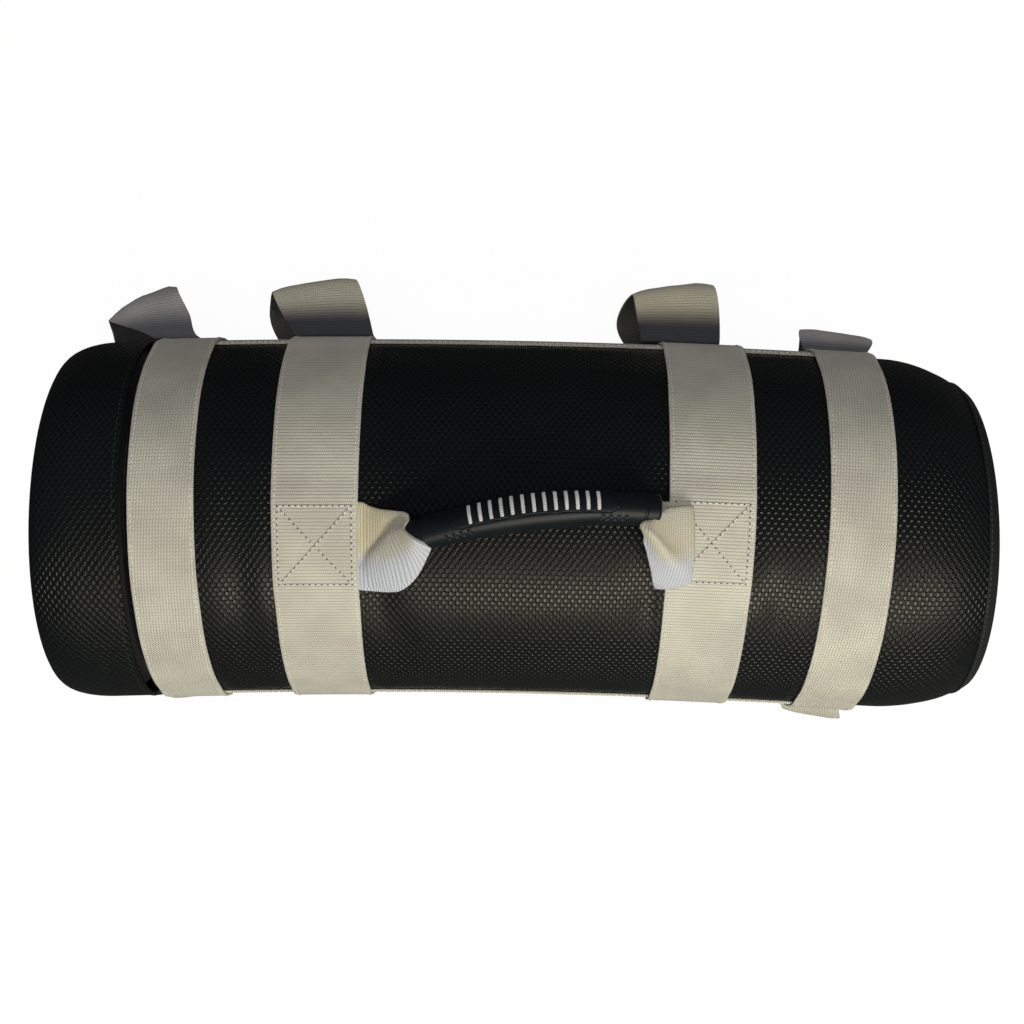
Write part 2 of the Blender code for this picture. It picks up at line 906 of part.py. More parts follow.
def grip_radius(distance, half_length):
    """Radius of the grip at a distance along the arch from its middle."""
    to_end = half_length - abs(distance)
    share = smooth_share(abs(distance) / half_length)
    radius = grip_radius_middle + (grip_radius_end - grip_radius_middle) * share
    if to_end < grip_end_round:
        inset = grip_end_round - to_end
        radius -= grip_end_round - math.sqrt(max(0.0, grip_end_round ** 2 - inset ** 2))
    if abs(to_end - grip_ring_place) < grip_ring_width / 2:
        radius -= grip_ring_depth
    return radius


def grip_stations(half_length):
    """Distances along the arch where the grip's sections stand."""
    edge = grip_ring_width / 2
    sharp = edge * ring_edge_share
    marks = [half_length - grip_end_round * share for share in grip_end_shares]
    for offset in (edge + sharp, edge - sharp, -edge + sharp, -edge - sharp):
        marks.append(half_length - grip_ring_place + offset)
    marks += [panel_half_length + sharp, panel_half_length]
    marks += [panel_half_length * step / grip_steps for step in range(grip_steps)]
    return sorted({round(mark * side, 7) for mark in marks for side in (-1, 1)})


def grip_ring_angles():
    """Angles round the grip: an even division, closer at the raised panel's two edges."""
    angles = [2 * math.pi * step / grip_sides for step in range(grip_sides)]
    for side in (-1, 1):
        edge = side * panel_half_angle % (2 * math.pi)
        angles = [angle for angle in angles if abs(angle - edge) > panel_edge_angle * 2]
        angles += [edge - panel_edge_angle / 2, edge + panel_edge_angle / 2]
    return sorted(angles)


def grip_mesh():
    _, radius, half_angle = grip_arc()
    half_length = radius * half_angle
    rings = []
    for distance in grip_stations(half_length):
        ring = []
        on_panel = abs(distance) <= panel_half_length + fit_gap * weld_share
        for around in grip_ring_angles():
            reach = grip_radius(distance, half_length)
            turned = min(around, 2 * math.pi - around)
            if on_panel and turned < panel_half_angle:
                reach += panel_rise
            ring.append(grip_place(distance / radius, around, reach))
        rings.append(ring)
    return loft_mesh("grip_body", rings)


def insert_mesh(name, clearance):
    """Spine with its stripes, made larger all round by a clearance."""
    _, radius, half_angle = grip_arc()
    half_length = radius * half_angle
    half_stripe = stripe_width / 2 + clearance
    first = -stripe_pitch * (stripe_count - 1) / 2
    rings = []

    def section(distance, inner, outer, half_width):
        ring = []
        for step in range(stripe_arc_steps + 1):
            around = half_width * (2 * step / stripe_arc_steps - 1)
            ring.append(grip_place(distance / radius, around, outer))
        for step in range(stripe_arc_steps, -1, -1):
            around = half_width * (2 * step / stripe_arc_steps - 1)
            ring.append(grip_place(distance / radius, around, inner))
        return ring

    root = stripe_root_radius - clearance
    spread = clearance / grip_radius_middle
    for index in range(stripe_count):
        middle = first + stripe_pitch * index
        outer = grip_radius(middle, half_length) + panel_rise + stripe_proud
        if clearance:
            outer += cut_overrun
        stripe = (root, outer, stripe_half_angle + spread)
        spine_low = root + spine_inset
        spine_high = spine_low + spine_thickness + 2 * clearance
        spine = (spine_low, spine_high, spine_half_angle + clearance / stripe_root_radius)
        if index:
            rings.append(section(middle - half_stripe, *spine))
        rings.append(section(middle - half_stripe, *stripe))
        rings.append(section(middle + half_stripe, *stripe))
        if index < stripe_count - 1:
            rings.append(section(middle + half_stripe, *spine))
    return loft_mesh(name, rings)


def strap_mesh(name, clearance):
    """Webbing core through the grip, or its channel."""
    half_chord, radius, half_angle = grip_arc()
    half_width = strap_width / 2 + clearance
    half_height = strap_thickness / 2 + clearance

    def corners(place):
        return [
            place(side * half_width, height * half_height)
            for side, height in ((-1, -1), (1, -1), (1, 1), (-1, 1))
        ]

    end_run = strap_reach - fit_gap / 2
    if clearance:
        end_run = cut_overrun
    ends = [-end_run, 2 * half_chord + end_run]
    rings = [corners(lambda side, up: Vector((strap_reach + ends[0], side, up)))]
    for step in range(strap_steps + 1):
        bend_angle = half_angle * (2 * step / strap_steps - 1)

        def on_arc(side, up, bend_angle=bend_angle):
            rise = radius + up
            return Vector((
                strap_reach + half_chord + rise * math.sin(bend_angle),
                side,
                rise * math.cos(bend_angle) - radius * math.cos(half_angle),
            ))

        rings.append(corners(on_arc))
    rings.append(corners(lambda side, up: Vector((strap_reach + ends[1], side, up))))
    return loft_mesh(name, rings)


def add_grip(axis):
    """Moulded grip, its webbing core and its stripe insert, in the frame of the swing axis."""
    frame = axis.matrix_world.copy()
    grip = add_part("grip_body", grip_mesh(), rubber, axis, frame)
    add_part("grip_strap", strap_mesh("grip_strap", 0.0), webbing, axis, frame)
    add_part("grip_insert", insert_mesh("grip_insert", 0.0), silver, axis, frame)
    use_tool(grip, add_tool("grip_channel", strap_mesh("grip_channel", fit_gap), axis, frame))
    use_tool(grip, add_tool("grip_pocket", insert_mesh("grip_pocket", fit_gap), axis, frame))


# Handle tabs

# Shares of the free run, of the axis height and of the pinching along the left tab's free end
left_tab_shares = (
    (0.15, 0.02, 0.03), (0.35, 0.12, 0.14), (0.55, 0.36, 0.38),
    (0.75, 0.68, 0.70), (0.90, 0.92, 0.93), (1.00, 1.00, 1.00),
)
# The same for the right tab, from its fold over the band forward to the grip
right_tab_shares = ((0.30, 0.52, 0.12), (0.55, 0.74, 0.42), (0.80, 0.92, 0.80), (1.00, 1.00, 1.00))


def left_tab_path(end_x):
    """Centre line from under the inner left band, out over the cover and up to the grip."""
    edge = inner_left_centre + wide_webbing_width / 2
    low = fit_gap + webbing_thickness / 2
    free = end_x - fit_gap / 2 - edge
    path = [(edge - tab_tuck, low, 0.0), (edge - tab_tuck / 2, low, 0.0), (edge, low, 0.0)]
    for run, rise, pinched in left_tab_shares:
        path.append((edge + free * run, low + (grip_axis_height - low) * rise, pinched))
    return path


def right_tab_path(end_x):
    """Centre line from under the inner right band, back over it and forward to the grip."""
    edge = inner_right_centre - wide_webbing_width / 2
    low = fit_gap + webbing_thickness / 2
    path = [(edge + tab_tuck, low, 0.0), (edge + tab_tuck / 2, low, 0.0), (edge, low, 0.0)]
    turn_radius = layer
    for step in range(fold_steps + 1):
        angle = math.pi * step / fold_steps
        x = edge - fit_gap - turn_radius * math.sin(angle)
        path.append((x, low + turn_radius * (1 - math.cos(angle)), 0.0))
    over = low + 2 * turn_radius + fit_gap / 2
    fold_radius = tab_fold_radius
    fold_x = edge + tab_fold_reach - fold_radius
    for step in range(fold_steps + 1):
        angle = math.pi * step / fold_steps
        x = fold_x + fold_radius * math.sin(angle)
        path.append((x, over + fold_radius * (1 - math.cos(angle)), 0.0))
    top = over + 2 * fold_radius
    end = end_x + fit_gap / 2
    for run, rise, pinched in right_tab_shares:
        path.append((fold_x + (end - fold_x) * run, top + (grip_axis_height - top) * rise, pinched))
    return path


def tab_ring(before, here, after, middle_angle, end, turn):
    """Section of a tab across its path, curved with the bag or pinched flat at the grip."""
    x, height, pinched = here
    run = Vector((after[0] - before[0], after[1] - before[1])).normalized()
    if pinched == 1:
        run = Vector((math.copysign(1, run.x), 0))
    thickness = webbing_thickness + (strap_thickness - webbing_thickness) * pinched
    along = turn @ Vector((1, 0, 0))
    across = Vector((0, 0, 1)).cross(along).normalized()
    up = along.cross(across)
    angles = facet_corners(middle_angle - tab_half_angle, middle_angle + tab_half_angle)
    faces = []
    for face in (-1, 1):
        side_x = x - face * run.y * thickness / 2
        side_height = height + face * run.x * thickness / 2
        line = []
        for angle in angles:
            side = (angle - middle_angle) / tab_half_angle
            surface = settle(polar(side_x, angle, cover_radius + side_height))
            pinch = end + along * (side_x - end.x) + across * side * strap_width / 2
            pinch += up * (side_height - grip_axis_height)
            line.append(surface.lerp(pinch, pinched))
        faces.append(line)
    return faces[0] + faces[1][::-1]


def add_tab(name, path, middle_angle, end, turn, parent):
    padded = [path[0], *path, path[-1]]
    rings = []
    for index in range(len(path)):
        rings.append(tab_ring(*padded[index:index + 3], middle_angle, end, turn))
    add_part(name, loft_mesh(name, rings), webbing, parent)


def seat_on_floor(root):
    """Lifts the model so that its underside is at 0 and its outline is centred on X and Y."""
    bpy.context.view_layer.update()
    corners = []
    for item in parts.objects:
        if item.type == "MESH":
            corners += [item.matrix_world @ vertex.co for vertex in item.data.vertices]
    low = [min(corner[axis] for corner in corners) for axis in range(3)]
    high = [max(corner[axis] for corner in corners) for axis in range(3)]
    root.location = (-(low[0] + high[0]) / 2, -(low[1] + high[1]) / 2, -low[2])
    bpy.context.view_layer.update()


clear_scene()
parts = make_collection("sandbag_trainer")
cutters = make_collection("cutters")

vinyl = make_material("black_vinyl", (0.012, 0.012, 0.013), 0.42)
webbing = make_material("grey_webbing", (0.50, 0.48, 0.44), 0.85)
binding_tape = make_material("black_binding", (0.015, 0.015, 0.016), 0.7)
rubber = make_material("grip_rubber", (0.018, 0.018, 0.020), 0.5)
silver = make_material("stripe_insert", (0.55, 0.55, 0.56), 0.6)
zip_tape = make_material("zip_tape", (0.015, 0.015, 0.017), 0.8)
zip_coil = make_material("zip_coil", (0.02, 0.02, 0.022), 0.4)
zinc = make_material("zinc", (0.45, 0.45, 0.47), 0.35, 1.0)
liner_cloth = make_material("liner_cloth", (0.10, 0.10, 0.11), 0.8)
tie_cord = make_material("tie_cord", (0.55, 0.53, 0.50), 0.8)
sand = make_material("sand", (0.55, 0.44, 0.30), 0.95)

band_places = (
    (outer_left_centre, narrow_webbing_width),
    (inner_left_centre, wide_webbing_width),
    (inner_right_centre, wide_webbing_width),
    (outer_right_centre, narrow_webbing_width),
)
rails = ((rail_angle_front, rail_half_angle), (rail_angle_back, rail_half_angle))
left_crossings = (*rails, (tab_angle_left, tab_half_angle))
right_crossings = (*rails, (tab_angle_right, tab_half_angle))

trainer = make_empty("sandbag_trainer", Vector((0, 0, 0)))

cover_rim = add_cover(trainer)
add_closed_end(cover_rim, trainer)
add_contents(trainer)

for name, (centre, width), crossings in zip(
    ("band_outer_left", "band_inner_left", "band_inner_right", "band_outer_right"),
    band_places,
    (rails, left_crossings, right_crossings, rails),
):
    add_band(name, centre, width, crossings, trainer)
add_rail("rail_front", rail_angle_front, trainer)
add_rail("rail_back", rail_angle_back, trainer)

# Each loop: place and width of its band, angle of its middle, its lengths, then the haste of its
# lean and the shares of its slant and its pinch
loops = (
    Loop("loop_front_inner_left", *band_places[1], 108,
         front_inner_left_rise, front_inner_left_shift, front_inner_left_lean, front_inner_left_far_lean,
         1.0, 0.12, 0.0),
    Loop("loop_front_inner_right", *band_places[2], 108,
         front_inner_right_rise, front_inner_right_shift, front_inner_right_lean, front_inner_right_far_lean,
         1.0, 0.12, 0.0),
    Loop("loop_front_outer_left", *band_places[0], 108,
         front_outer_left_rise, front_outer_left_shift, front_outer_left_lean, front_outer_left_far_lean,
         1.5, 0.47, 0.4),
    Loop("loop_front_outer_right", *band_places[3], 117,
         front_outer_right_rise, front_outer_right_shift, front_outer_right_lean, front_outer_right_far_lean,
         1.0, -0.12, 0.0),
    Loop("loop_back_outer_left", *band_places[0], -126,
         back_outer_left_rise, 0.0, back_outer_left_lean, 0.0,
         1.0, -0.2, 0.0),
    Loop("loop_back_outer_right", *band_places[3], -126,
         back_outer_right_rise, 0.0, back_outer_right_lean, 0.0,
         1.0, 0.16, 0.0),
)
for loop in loops:
    add_part(loop.name, loop_mesh(loop, rails), webbing, trainer)

lid_axis_y = -(cover_radius + 2 * layer + 2 * fit_gap)
lid_axis = make_empty("lid_swing_axis", bow(Vector((zip_x, lid_axis_y, 0))), trainer)
add_lid(lid_axis)
add_zip(trainer, lid_axis)
add_hinge_tape(trainer)

zip_tilt = Matrix.Rotation(-math.atan(bow_lean(zip_x)), 3, "Z")
zip_centre = bow(Vector((zip_x, 0, 0)))
zip_axis = make_empty("zip_slide_axis", zip_centre, trainer, zip_tilt)
parking_middle = hinge_angle - hinge_half_angle - parking_angle / 2
parked = (math.floor(parking_middle / turn_angle) + 1 / 2) * turn_angle
slider_turn = zip_tilt @ Matrix.Rotation(-parked, 3, "X")
slider_place = zip_centre + zip_tilt @ polar(0, parked, coil_path_radius)
slider_seat = make_empty("zip_slider_seat", slider_place, zip_axis, slider_turn)
puller_place = slider_place + slider_turn @ Vector((0, 0, puller_height))
puller_axis = make_empty("zip_puller_axis", puller_place, slider_seat, slider_turn)
add_slider(slider_seat)
add_puller(puller_axis)

axis_left, axis_right, grip_turn = grip_frame()
grip_axis = make_empty("grip_swing_axis", axis_left, trainer, grip_turn)
add_grip(grip_axis)
left_path = left_tab_path(axis_left.x)
right_path = right_tab_path(axis_right.x)
add_tab("handle_tab_left", left_path, tab_angle_left, axis_left, grip_turn, trainer)
add_tab("handle_tab_right", right_path, tab_angle_right, axis_right, grip_turn, trainer)

seat_on_floor(trainer)
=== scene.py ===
"""Scene of a sandbag trainer: a stuffed vinyl bag with webbing bands, carry loops and a grip.

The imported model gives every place. The pieces here follow the same form of the bag as its solids
do: straight and round first, then pressed flat underneath and bowed.
"""
import json
import logging
import math
from collections.abc import Callable
from dataclasses import dataclass, field
from enum import Enum

import bmesh
import bpy
from mathutils import Matrix, Vector, noise


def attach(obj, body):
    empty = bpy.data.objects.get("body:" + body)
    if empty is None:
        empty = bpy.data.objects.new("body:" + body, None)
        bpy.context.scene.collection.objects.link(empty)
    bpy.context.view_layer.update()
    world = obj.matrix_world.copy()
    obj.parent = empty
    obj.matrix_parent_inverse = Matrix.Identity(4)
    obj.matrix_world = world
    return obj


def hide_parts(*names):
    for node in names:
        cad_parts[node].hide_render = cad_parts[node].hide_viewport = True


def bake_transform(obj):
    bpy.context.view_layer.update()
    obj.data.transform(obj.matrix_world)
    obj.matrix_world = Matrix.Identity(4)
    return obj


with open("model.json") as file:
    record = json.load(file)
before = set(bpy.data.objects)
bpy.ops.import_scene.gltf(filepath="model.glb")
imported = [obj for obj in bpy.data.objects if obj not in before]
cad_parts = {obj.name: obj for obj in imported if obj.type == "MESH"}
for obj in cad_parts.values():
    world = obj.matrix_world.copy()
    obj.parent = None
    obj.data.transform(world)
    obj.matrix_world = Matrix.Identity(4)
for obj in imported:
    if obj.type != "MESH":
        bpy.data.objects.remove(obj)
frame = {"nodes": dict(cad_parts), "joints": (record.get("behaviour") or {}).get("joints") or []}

log = logging.getLogger("sandbag_trainer")

TURN = 2 * math.pi
PINHOLE = 0.0004
SEAM_PROUD = 0.0001
BAND_FACET = math.radians(9)
RAIL_FRONT = math.radians(83.5)
RAIL_BACK = math.radians(-88.0)
CLOTH_MAP = "cloth"
LIFT = "lift"


# Plain helpers


def smooth_share(value: float) -> float:
    """Eases a share from 0 to 1."""
    value = min(1.0, max(0.0, value))
    return value * value * (3 - 2 * value)


def mix(start: float, end: float, share: float) -> float:
    """Number between two numbers, by a share."""
    return start + (end - start) * share


def arc_drop(radius: float, past: float) -> float:
    """How far an arc has dropped at a distance past its top."""
    return radius - math.sqrt(max(0.0, radius ** 2 - past ** 2))


def even_shares(count: int) -> list[float]:
    """Evenly spaced shares from 0 to 1."""
    return [step / (count - 1) for step in range(count)]


def curve_through(
    points: list[tuple[float, ...]], shares: list[float]
) -> list[tuple[float, ...]]:
    """Smooth line through points of any number of values.

    Args:
        points: places that the line goes through.
        shares: where along the line places are wanted, from 0 to 1.

    Returns:
        The places along the line.
    """
    last = len(points) - 1
    line = []
    for share in shares:
        step = min(int(share * last), last - 1)
        t = share * last - step
        before = points[max(step - 1, 0)]
        after = points[min(step + 2, last)]
        place = []
        for p0, p1, p2, p3 in zip(before, points[step], points[step + 1], after):
            bend = 2 * p0 - 5 * p1 + 4 * p2 - p3
            twist = 3 * p1 - p0 - 3 * p2 + p3
            place.append((2 * p1 + (p2 - p0) * t + bend * t ** 2 + twist * t ** 3) / 2)
        line.append(tuple(place))
    return line


def ripple(point: Vector, size: float, seed: float = 0.0) -> float:
    """Soft, repeatable unevenness from -1 to 1 at a place, in ripples of a size."""
    return noise.noise(point / size + Vector((seed, seed * 2, seed * 3)))


# Meshes


def new_object(name: str, data: bpy.types.ID) -> bpy.types.Object:
    """Object in the scene that carries a mesh, a camera or a lamp.

    Args:
        name: name of the object.
        data: what it carries.

    Returns:
        The object.
    """
    item = bpy.data.objects.new(name, data)
    bpy.context.scene.collection.objects.link(item)
    return item


def tidy_mesh(mesh: bpy.types.Mesh, sharp_angle: float = 50.0) -> bpy.types.Mesh:
    """Faces a mesh outwards and shades it smooth.

    Args:
        mesh: the mesh.
        sharp_angle: angle in degrees from which an edge stays sharp.

    Returns:
        The same mesh.
    """
    work = bmesh.new()
    work.from_mesh(mesh)
    bmesh.ops.recalc_face_normals(work, faces=work.faces)
    work.to_mesh(mesh)
    work.free()
    mesh.shade_smooth()
    mesh.set_sharp_from_angle(angle=math.radians(sharp_angle))
    return mesh


def skin_mesh(
    name: str,
    rows: list[list[Vector]],
    cloth: list[list[tuple[float, float]]],
    wrap_rows: bool = False,
    wrap_columns: bool = False,
    caps: bool = False,
) -> bpy.types.Mesh:
    """Skin over rows of points, with its flat cloth places as a map.

    Args:
        name: name of the mesh.
        rows: points of the skin, row by row.
        cloth: flat place of each point in metres, one more each way where the skin is wrapped.
        wrap_rows: whether the last row joins the first.
        wrap_columns: whether each row is a ring.
        caps: whether the first and the last ring are closed.

    Returns:
        The finished mesh.
    """
    count = len(rows[0])
    points = [point for row in rows for point in row]
    faces = []
    corners = []
    for i in range(len(rows) - (not wrap_rows)):
        i_next = (i + 1) % len(rows)
        for j in range(count - (not wrap_columns)):
            j_next = (j + 1) % count
            faces.append((
                i * count + j, i * count + j_next, i_next * count + j_next, i_next * count + j
            ))
            corners += [cloth[i][j], cloth[i][j + 1], cloth[i + 1][j + 1], cloth[i + 1][j]]
    if caps:
        for i in (0, len(rows) - 1):
            faces.append(tuple(i * count + j for j in range(count)))
            corners += cloth[i][:count]
    mesh = bpy.data.meshes.new(name)
    mesh.from_pydata(points, [], faces)
    layer = mesh.uv_layers.new(name=CLOTH_MAP)
    layer.data.foreach_set("uv", [value for corner in corners for value in corner])
    return tidy_mesh(mesh)


def across_shares(width: float, thickness: float, inner: int) -> list[float]:
    """Places across a strap from -1 to 1, close together at its rounded edges.

    Args:
        width: width of the strap.
        thickness: its thickness.
        inner: number of places between its edges.

    Returns:
        The places, from edge to edge.
    """
    edge = thickness / width
    rounds = [1 - edge * (1 - math.sin(math.radians(angle))) for angle in (90, 55, 25, 0)]
    flat = [mix(-1 + edge, 1 - edge, (step + 1) / (inner + 1)) for step in range(inner)]
    return [-share for share in rounds] + flat + rounds[::-1]


def strap_mesh(
    name: str, rows: list[list[Vector]], thickness: float, closed: bool = False
) -> bpy.types.Mesh:
    """Solid strap about a sheet of points that run from edge to edge.

    Args:
        name: name of the mesh.
        rows: points of the sheet in the strap's middle, row by row along it.
        thickness: thickness of the strap.
        closed: whether the strap is a ring.

    Returns:
        The finished mesh, with its place across and along as its map.
    """
    last = len(rows) - 1
    across = [[0.0] for _ in rows]
    for row, line in zip(rows, across):
        for near, far in zip(row, row[1:]):
            line.append(line[-1] + (far - near).length)
    along = [0.0]
    middle = len(rows[0]) // 2
    for near, far in zip(rows, rows[1:] + rows[:1]):
        along.append(along[-1] + (far[middle] - near[middle]).length)
    rings = []
    cloth = []
    for i, row in enumerate(rows):
        before = rows[(i - 1) % len(rows)] if closed else rows[max(i - 1, 0)]
        after = rows[(i + 1) % len(rows)] if closed else rows[min(i + 1, last)]
        high = []
        low = []
        flat = []
        width = across[i][-1]
        for j, point in enumerate(row):
            sideways = row[min(j + 1, len(row) - 1)] - row[max(j - 1, 0)]
            normal = (after[j] - before[j]).cross(sideways).normalized()
            to_edge = min(across[i][j], width - across[i][j]) / (thickness / 2)
            half = thickness / 2 * math.sqrt(max(0.0, 1 - max(0.0, 1 - to_edge) ** 2))
            high.append(point + normal * half)
            low.append(point - normal * half)
            flat.append((across[i][j] - width / 2, along[i]))
        rings.append(high + low[-2:0:-1])
        cloth.append(flat + flat[-2:0:-1] + flat[:1])
    if closed:
        cloth.append([(u, along[-1]) for u, _ in cloth[0]])
    return skin_mesh(name, rings, cloth, wrap_rows=closed, wrap_columns=True, caps=not closed)


# The bag's form


@dataclass(frozen=True)
class BagForm:
    """Form of the bag as it lies, from its straight and round one."""

    seat: Vector
    cover_radius: float = 0.1115
    lid_radius: float = 0.1136
    cover_wall: float = 0.0012
    fit_gap: float = 0.0003
    underside_press: float = 0.003
    bow_depth: float = 0.00794
    bow_lean_end: float = 0.200
    left_reach: float = 0.2818
    right_reach: float = 0.2838
    left_end_lean_share: float = 0.0
    right_end_lean_share: float = -0.4
    zip_reach: float = 0.2257
    zip_slot: float = 0.0050
    webbing_thickness: float = 0.0014
    wide_webbing: float = 0.0500
    narrow_webbing: float = 0.0385

    @property
    def layer(self) -> float:
        """Height of one strap with its gap."""
        return self.fit_gap + self.webbing_thickness

    @property
    def mouth(self) -> float:
        """Place along the bag of the tube's open mouth at the zip."""
        return -self.zip_reach + self.zip_slot / 2

    @property
    def lid_edge(self) -> float:
        """Place along the bag of the lid's edge at the zip."""
        return -self.zip_reach - self.zip_slot / 2

    @property
    def bow_radius(self) -> float:
        """Radius of the bag's bow, from its depth."""
        return self.left_reach ** 2 / (2 * self.bow_depth)

    @property
    def press_ratio(self) -> float:
        """Height of the flattened underside as a ratio of the cover's radius."""
        return 1 - self.underside_press / self.cover_radius

    @property
    def lid_press_ratio(self) -> float:
        """The same for the lid, which is wider and ends just above the bands' undersides."""
        under = (self.cover_radius + self.layer) * self.press_ratio - self.fit_gap
        return under / self.lid_radius

    def press(self, point: Vector, share: float, ratio: float) -> Vector:
        """Flattens the underside.

        Args:
            point: place beside the straight and round bag.
            share: share of the flattening.
            ratio: height of the flattened underside as a ratio of its radius.

        Returns:
            The place, moved towards the axis where it lies underneath.
        """
        if point.z >= 0:
            return point
        full = min(1.0, ratio * math.hypot(point.y, point.z) / -point.z)
        factor = mix(1.0, full, share)
        return Vector((point.x, point.y * factor, point.z * factor))

    def lean(self, x: float) -> float:
        """Slope of the bag's cross-sections.

        Args:
            x: place along the bag.

        Returns:
            The slope there.
        """
        end_share = self.left_end_lean_share if x < 0 else self.right_end_lean_share
        run = self.left_reach - self.bow_lean_end
        fade = smooth_share((abs(x) - self.bow_lean_end) / run)
        return x / self.bow_radius * mix(1.0, end_share, fade)

    def bow(self, point: Vector) -> Vector:
        """Bends the straight bag so that both ends reach towards -Y."""
        drop = point.x ** 2 / (2 * self.bow_radius)
        return Vector((point.x + self.lean(point.x) * point.y, point.y - drop, point.z))

    def place(self, x: float, angle: float, radius: float, pressed: float = 1.0,
              ratio: float | None = None) -> Vector:
        """Place in the scene, from the place along the bag, the angle from its top and a radius.

        Args:
            x: place along the bag.
            angle: angle from the top, positive towards +Y.
            radius: distance from the bag's axis.
            pressed: share of the flattening underneath.
            ratio: height of the flattened underside as a ratio, where it isn't the cover's.

        Returns:
            The place as the bag lies.
        """
        point = Vector((x, radius * math.sin(angle), radius * math.cos(angle)))
        return self.corner(self.press(point, pressed, ratio or self.press_ratio))

    def place_on_lid(self, x: float, angle: float, radius: float,
                     pressed: float = 1.0) -> Vector:
        """The same for a place on the lid."""
        return self.place(x, angle, radius, pressed, self.lid_press_ratio)

    def corner(self, point: Vector) -> Vector:
        """Place in the scene of a point beside the straight bag."""
        return self.bow(point) + self.seat


@dataclass(frozen=True)
class View:
    """The photograph's view of the bag: from straight above it, slightly turned."""

    focal_pixels: float = 1555.0
    distance: float = 1.005
    turn: float = math.radians(1.15)
    centre_column: float = 515.0
    centre_row: float = 517.0

    def under(self, form: BagForm, column: float, row: float, height: float) -> Vector:
        """Place that shows at a spot of the picture, at a height over the round cover.

        Args:
            form: form of the bag.
            column: spot in the picture, from its left.
            row: spot in the picture, from its top.
            height: height over the cover in metres.

        Returns:
            The place in the scene.
        """
        z = form.cover_radius + height
        for _ in range(5):
            scale = self.focal_pixels / (self.distance - z)
            right = (column - self.centre_column) / scale
            down = (row - self.centre_row) / scale
            x = right * math.cos(self.turn) + down * math.sin(self.turn)
            y = right * math.sin(self.turn) - down * math.cos(self.turn)
            off_axis = y + x ** 2 / (2 * form.bow_radius)
            z = math.sqrt(max(0.0, form.cover_radius ** 2 - off_axis ** 2)) + height
        return Vector((x, y, z)) + form.seat


def bag_form() -> BagForm:
    """Form of the bag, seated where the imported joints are.

    Returns:
        The form.
    """
    loose = BagForm(Vector((0, 0, 0)))
    zip_joint = next(joint for joint in frame["joints"] if joint["name"] == "zip_slide")
    zip_centre = loose.corner(Vector((-loose.zip_reach, 0, 0)))
    return BagForm(Vector(zip_joint["pos_m"]) - zip_centre)


# Shader nodes


class Shades:
    """Adds and joins nodes in one node tree."""

    def __init__(self, tree: bpy.types.NodeTree) -> None:
        """Keeps the node tree of a material or a group."""
        self.tree = tree

    def node(self, kind: str, **settings: object) -> bpy.types.Node:
        """New node with its settings.

        Args:
            kind: type of the node.
            settings: values of its properties.

        Returns:
            The node.
        """
        made = self.tree.nodes.new(kind)
        for key, value in settings.items():
            setattr(made, key, value)
        return made

    def feed(self, socket: bpy.types.NodeSocket, value: object) -> None:
        """Joins another socket to a socket, or sets its value.

        Args:
            socket: socket that is fed.
            value: another socket, or a plain value.
        """
        if isinstance(value, bpy.types.NodeSocket):
            self.tree.links.new(value, socket)
        else:
            socket.default_value = value

    def math(self, operation: str, *values: object) -> bpy.types.NodeSocket:
        """Result of a sum of sockets or numbers.

        Args:
            operation: name of the sum.
            values: its terms.

        Returns:
            The socket with the result.
        """
        made = self.node("ShaderNodeMath", operation=operation)
        for index, value in enumerate(values):
            self.feed(made.inputs[index], value)
        return made.outputs[0]

    def less(self, value: object) -> bpy.types.NodeSocket:
        """What a share leaves of 1."""
        return self.math("SUBTRACT", 1.0, value)

    def ridge(self, value: object) -> bpy.types.NodeSocket:
        """Row of rounded ridges, one for each step of 1."""
        return self.math("ABSOLUTE", self.math("SINE", self.math("MULTIPLY", value, math.pi)))

    def softened(self, ridge: object, share: object) -> bpy.types.NodeSocket:
        """Ridges that take up only a share of the height."""
        return self.math("MULTIPLY_ADD", self.math("POWER", ridge, 0.8), share, self.less(share))

    def axes(self, vector: object) -> bpy.types.NodeOutputs:
        """The single values of a vector.

        Args:
            vector: the vector.

        Returns:
            The sockets of its three values.
        """
        split = self.node("ShaderNodeSeparateXYZ")
        self.feed(split.inputs[0], vector)
        return split.outputs

    def blend(self, factor: object, low: object, high: object) -> bpy.types.NodeSocket:
        """Colour between two colours.

        Args:
            factor: share of the second colour.
            low: first colour.
            high: second colour.

        Returns:
            The socket with the colour.
        """
        made = self.node("ShaderNodeMix", data_type="RGBA")
        self.feed(made.inputs[0], factor)
        self.feed(made.inputs[6], low)
        self.feed(made.inputs[7], high)
        return made.outputs[2]

    def ramp(self, value: object, low: float, high: float, start: float = 0.0,
             end: float = 1.0) -> bpy.types.NodeSocket:
        """Eased share of a value between two limits.

        Args:
            value: value to map.
            low: limit that gives the start.
            high: limit that gives the end.
            start: result at the low limit.
            end: result at the high limit.

        Returns:
            The socket with the share.
        """
        made = self.node("ShaderNodeMapRange", interpolation_type="SMOOTHSTEP")
        for index, part in enumerate((value, low, high, start, end)):
            self.feed(made.inputs[index], part)
        return made.outputs[0]

    def noise(self, vector: object, scale: object, detail: float = 2.0) -> bpy.types.NodeSocket:
        """Cloudy value.

        Args:
            vector: place that it is wanted for.
            scale: number of clouds in a metre.
            detail: number of finer layers.

        Returns:
            The socket with the value.
        """
        made = self.node("ShaderNodeTexNoise")
        self.feed(made.inputs["Vector"], vector)
        self.feed(made.inputs["Scale"], scale)
        made.inputs["Detail"].default_value = detail
        return made.outputs["Fac"]


class Effect(Enum):
    """Shared effects of the finishes."""

    WEAVE = "woven ribs"
    EMBOSS = "embossed squares"
    TONE = "uneven tone"


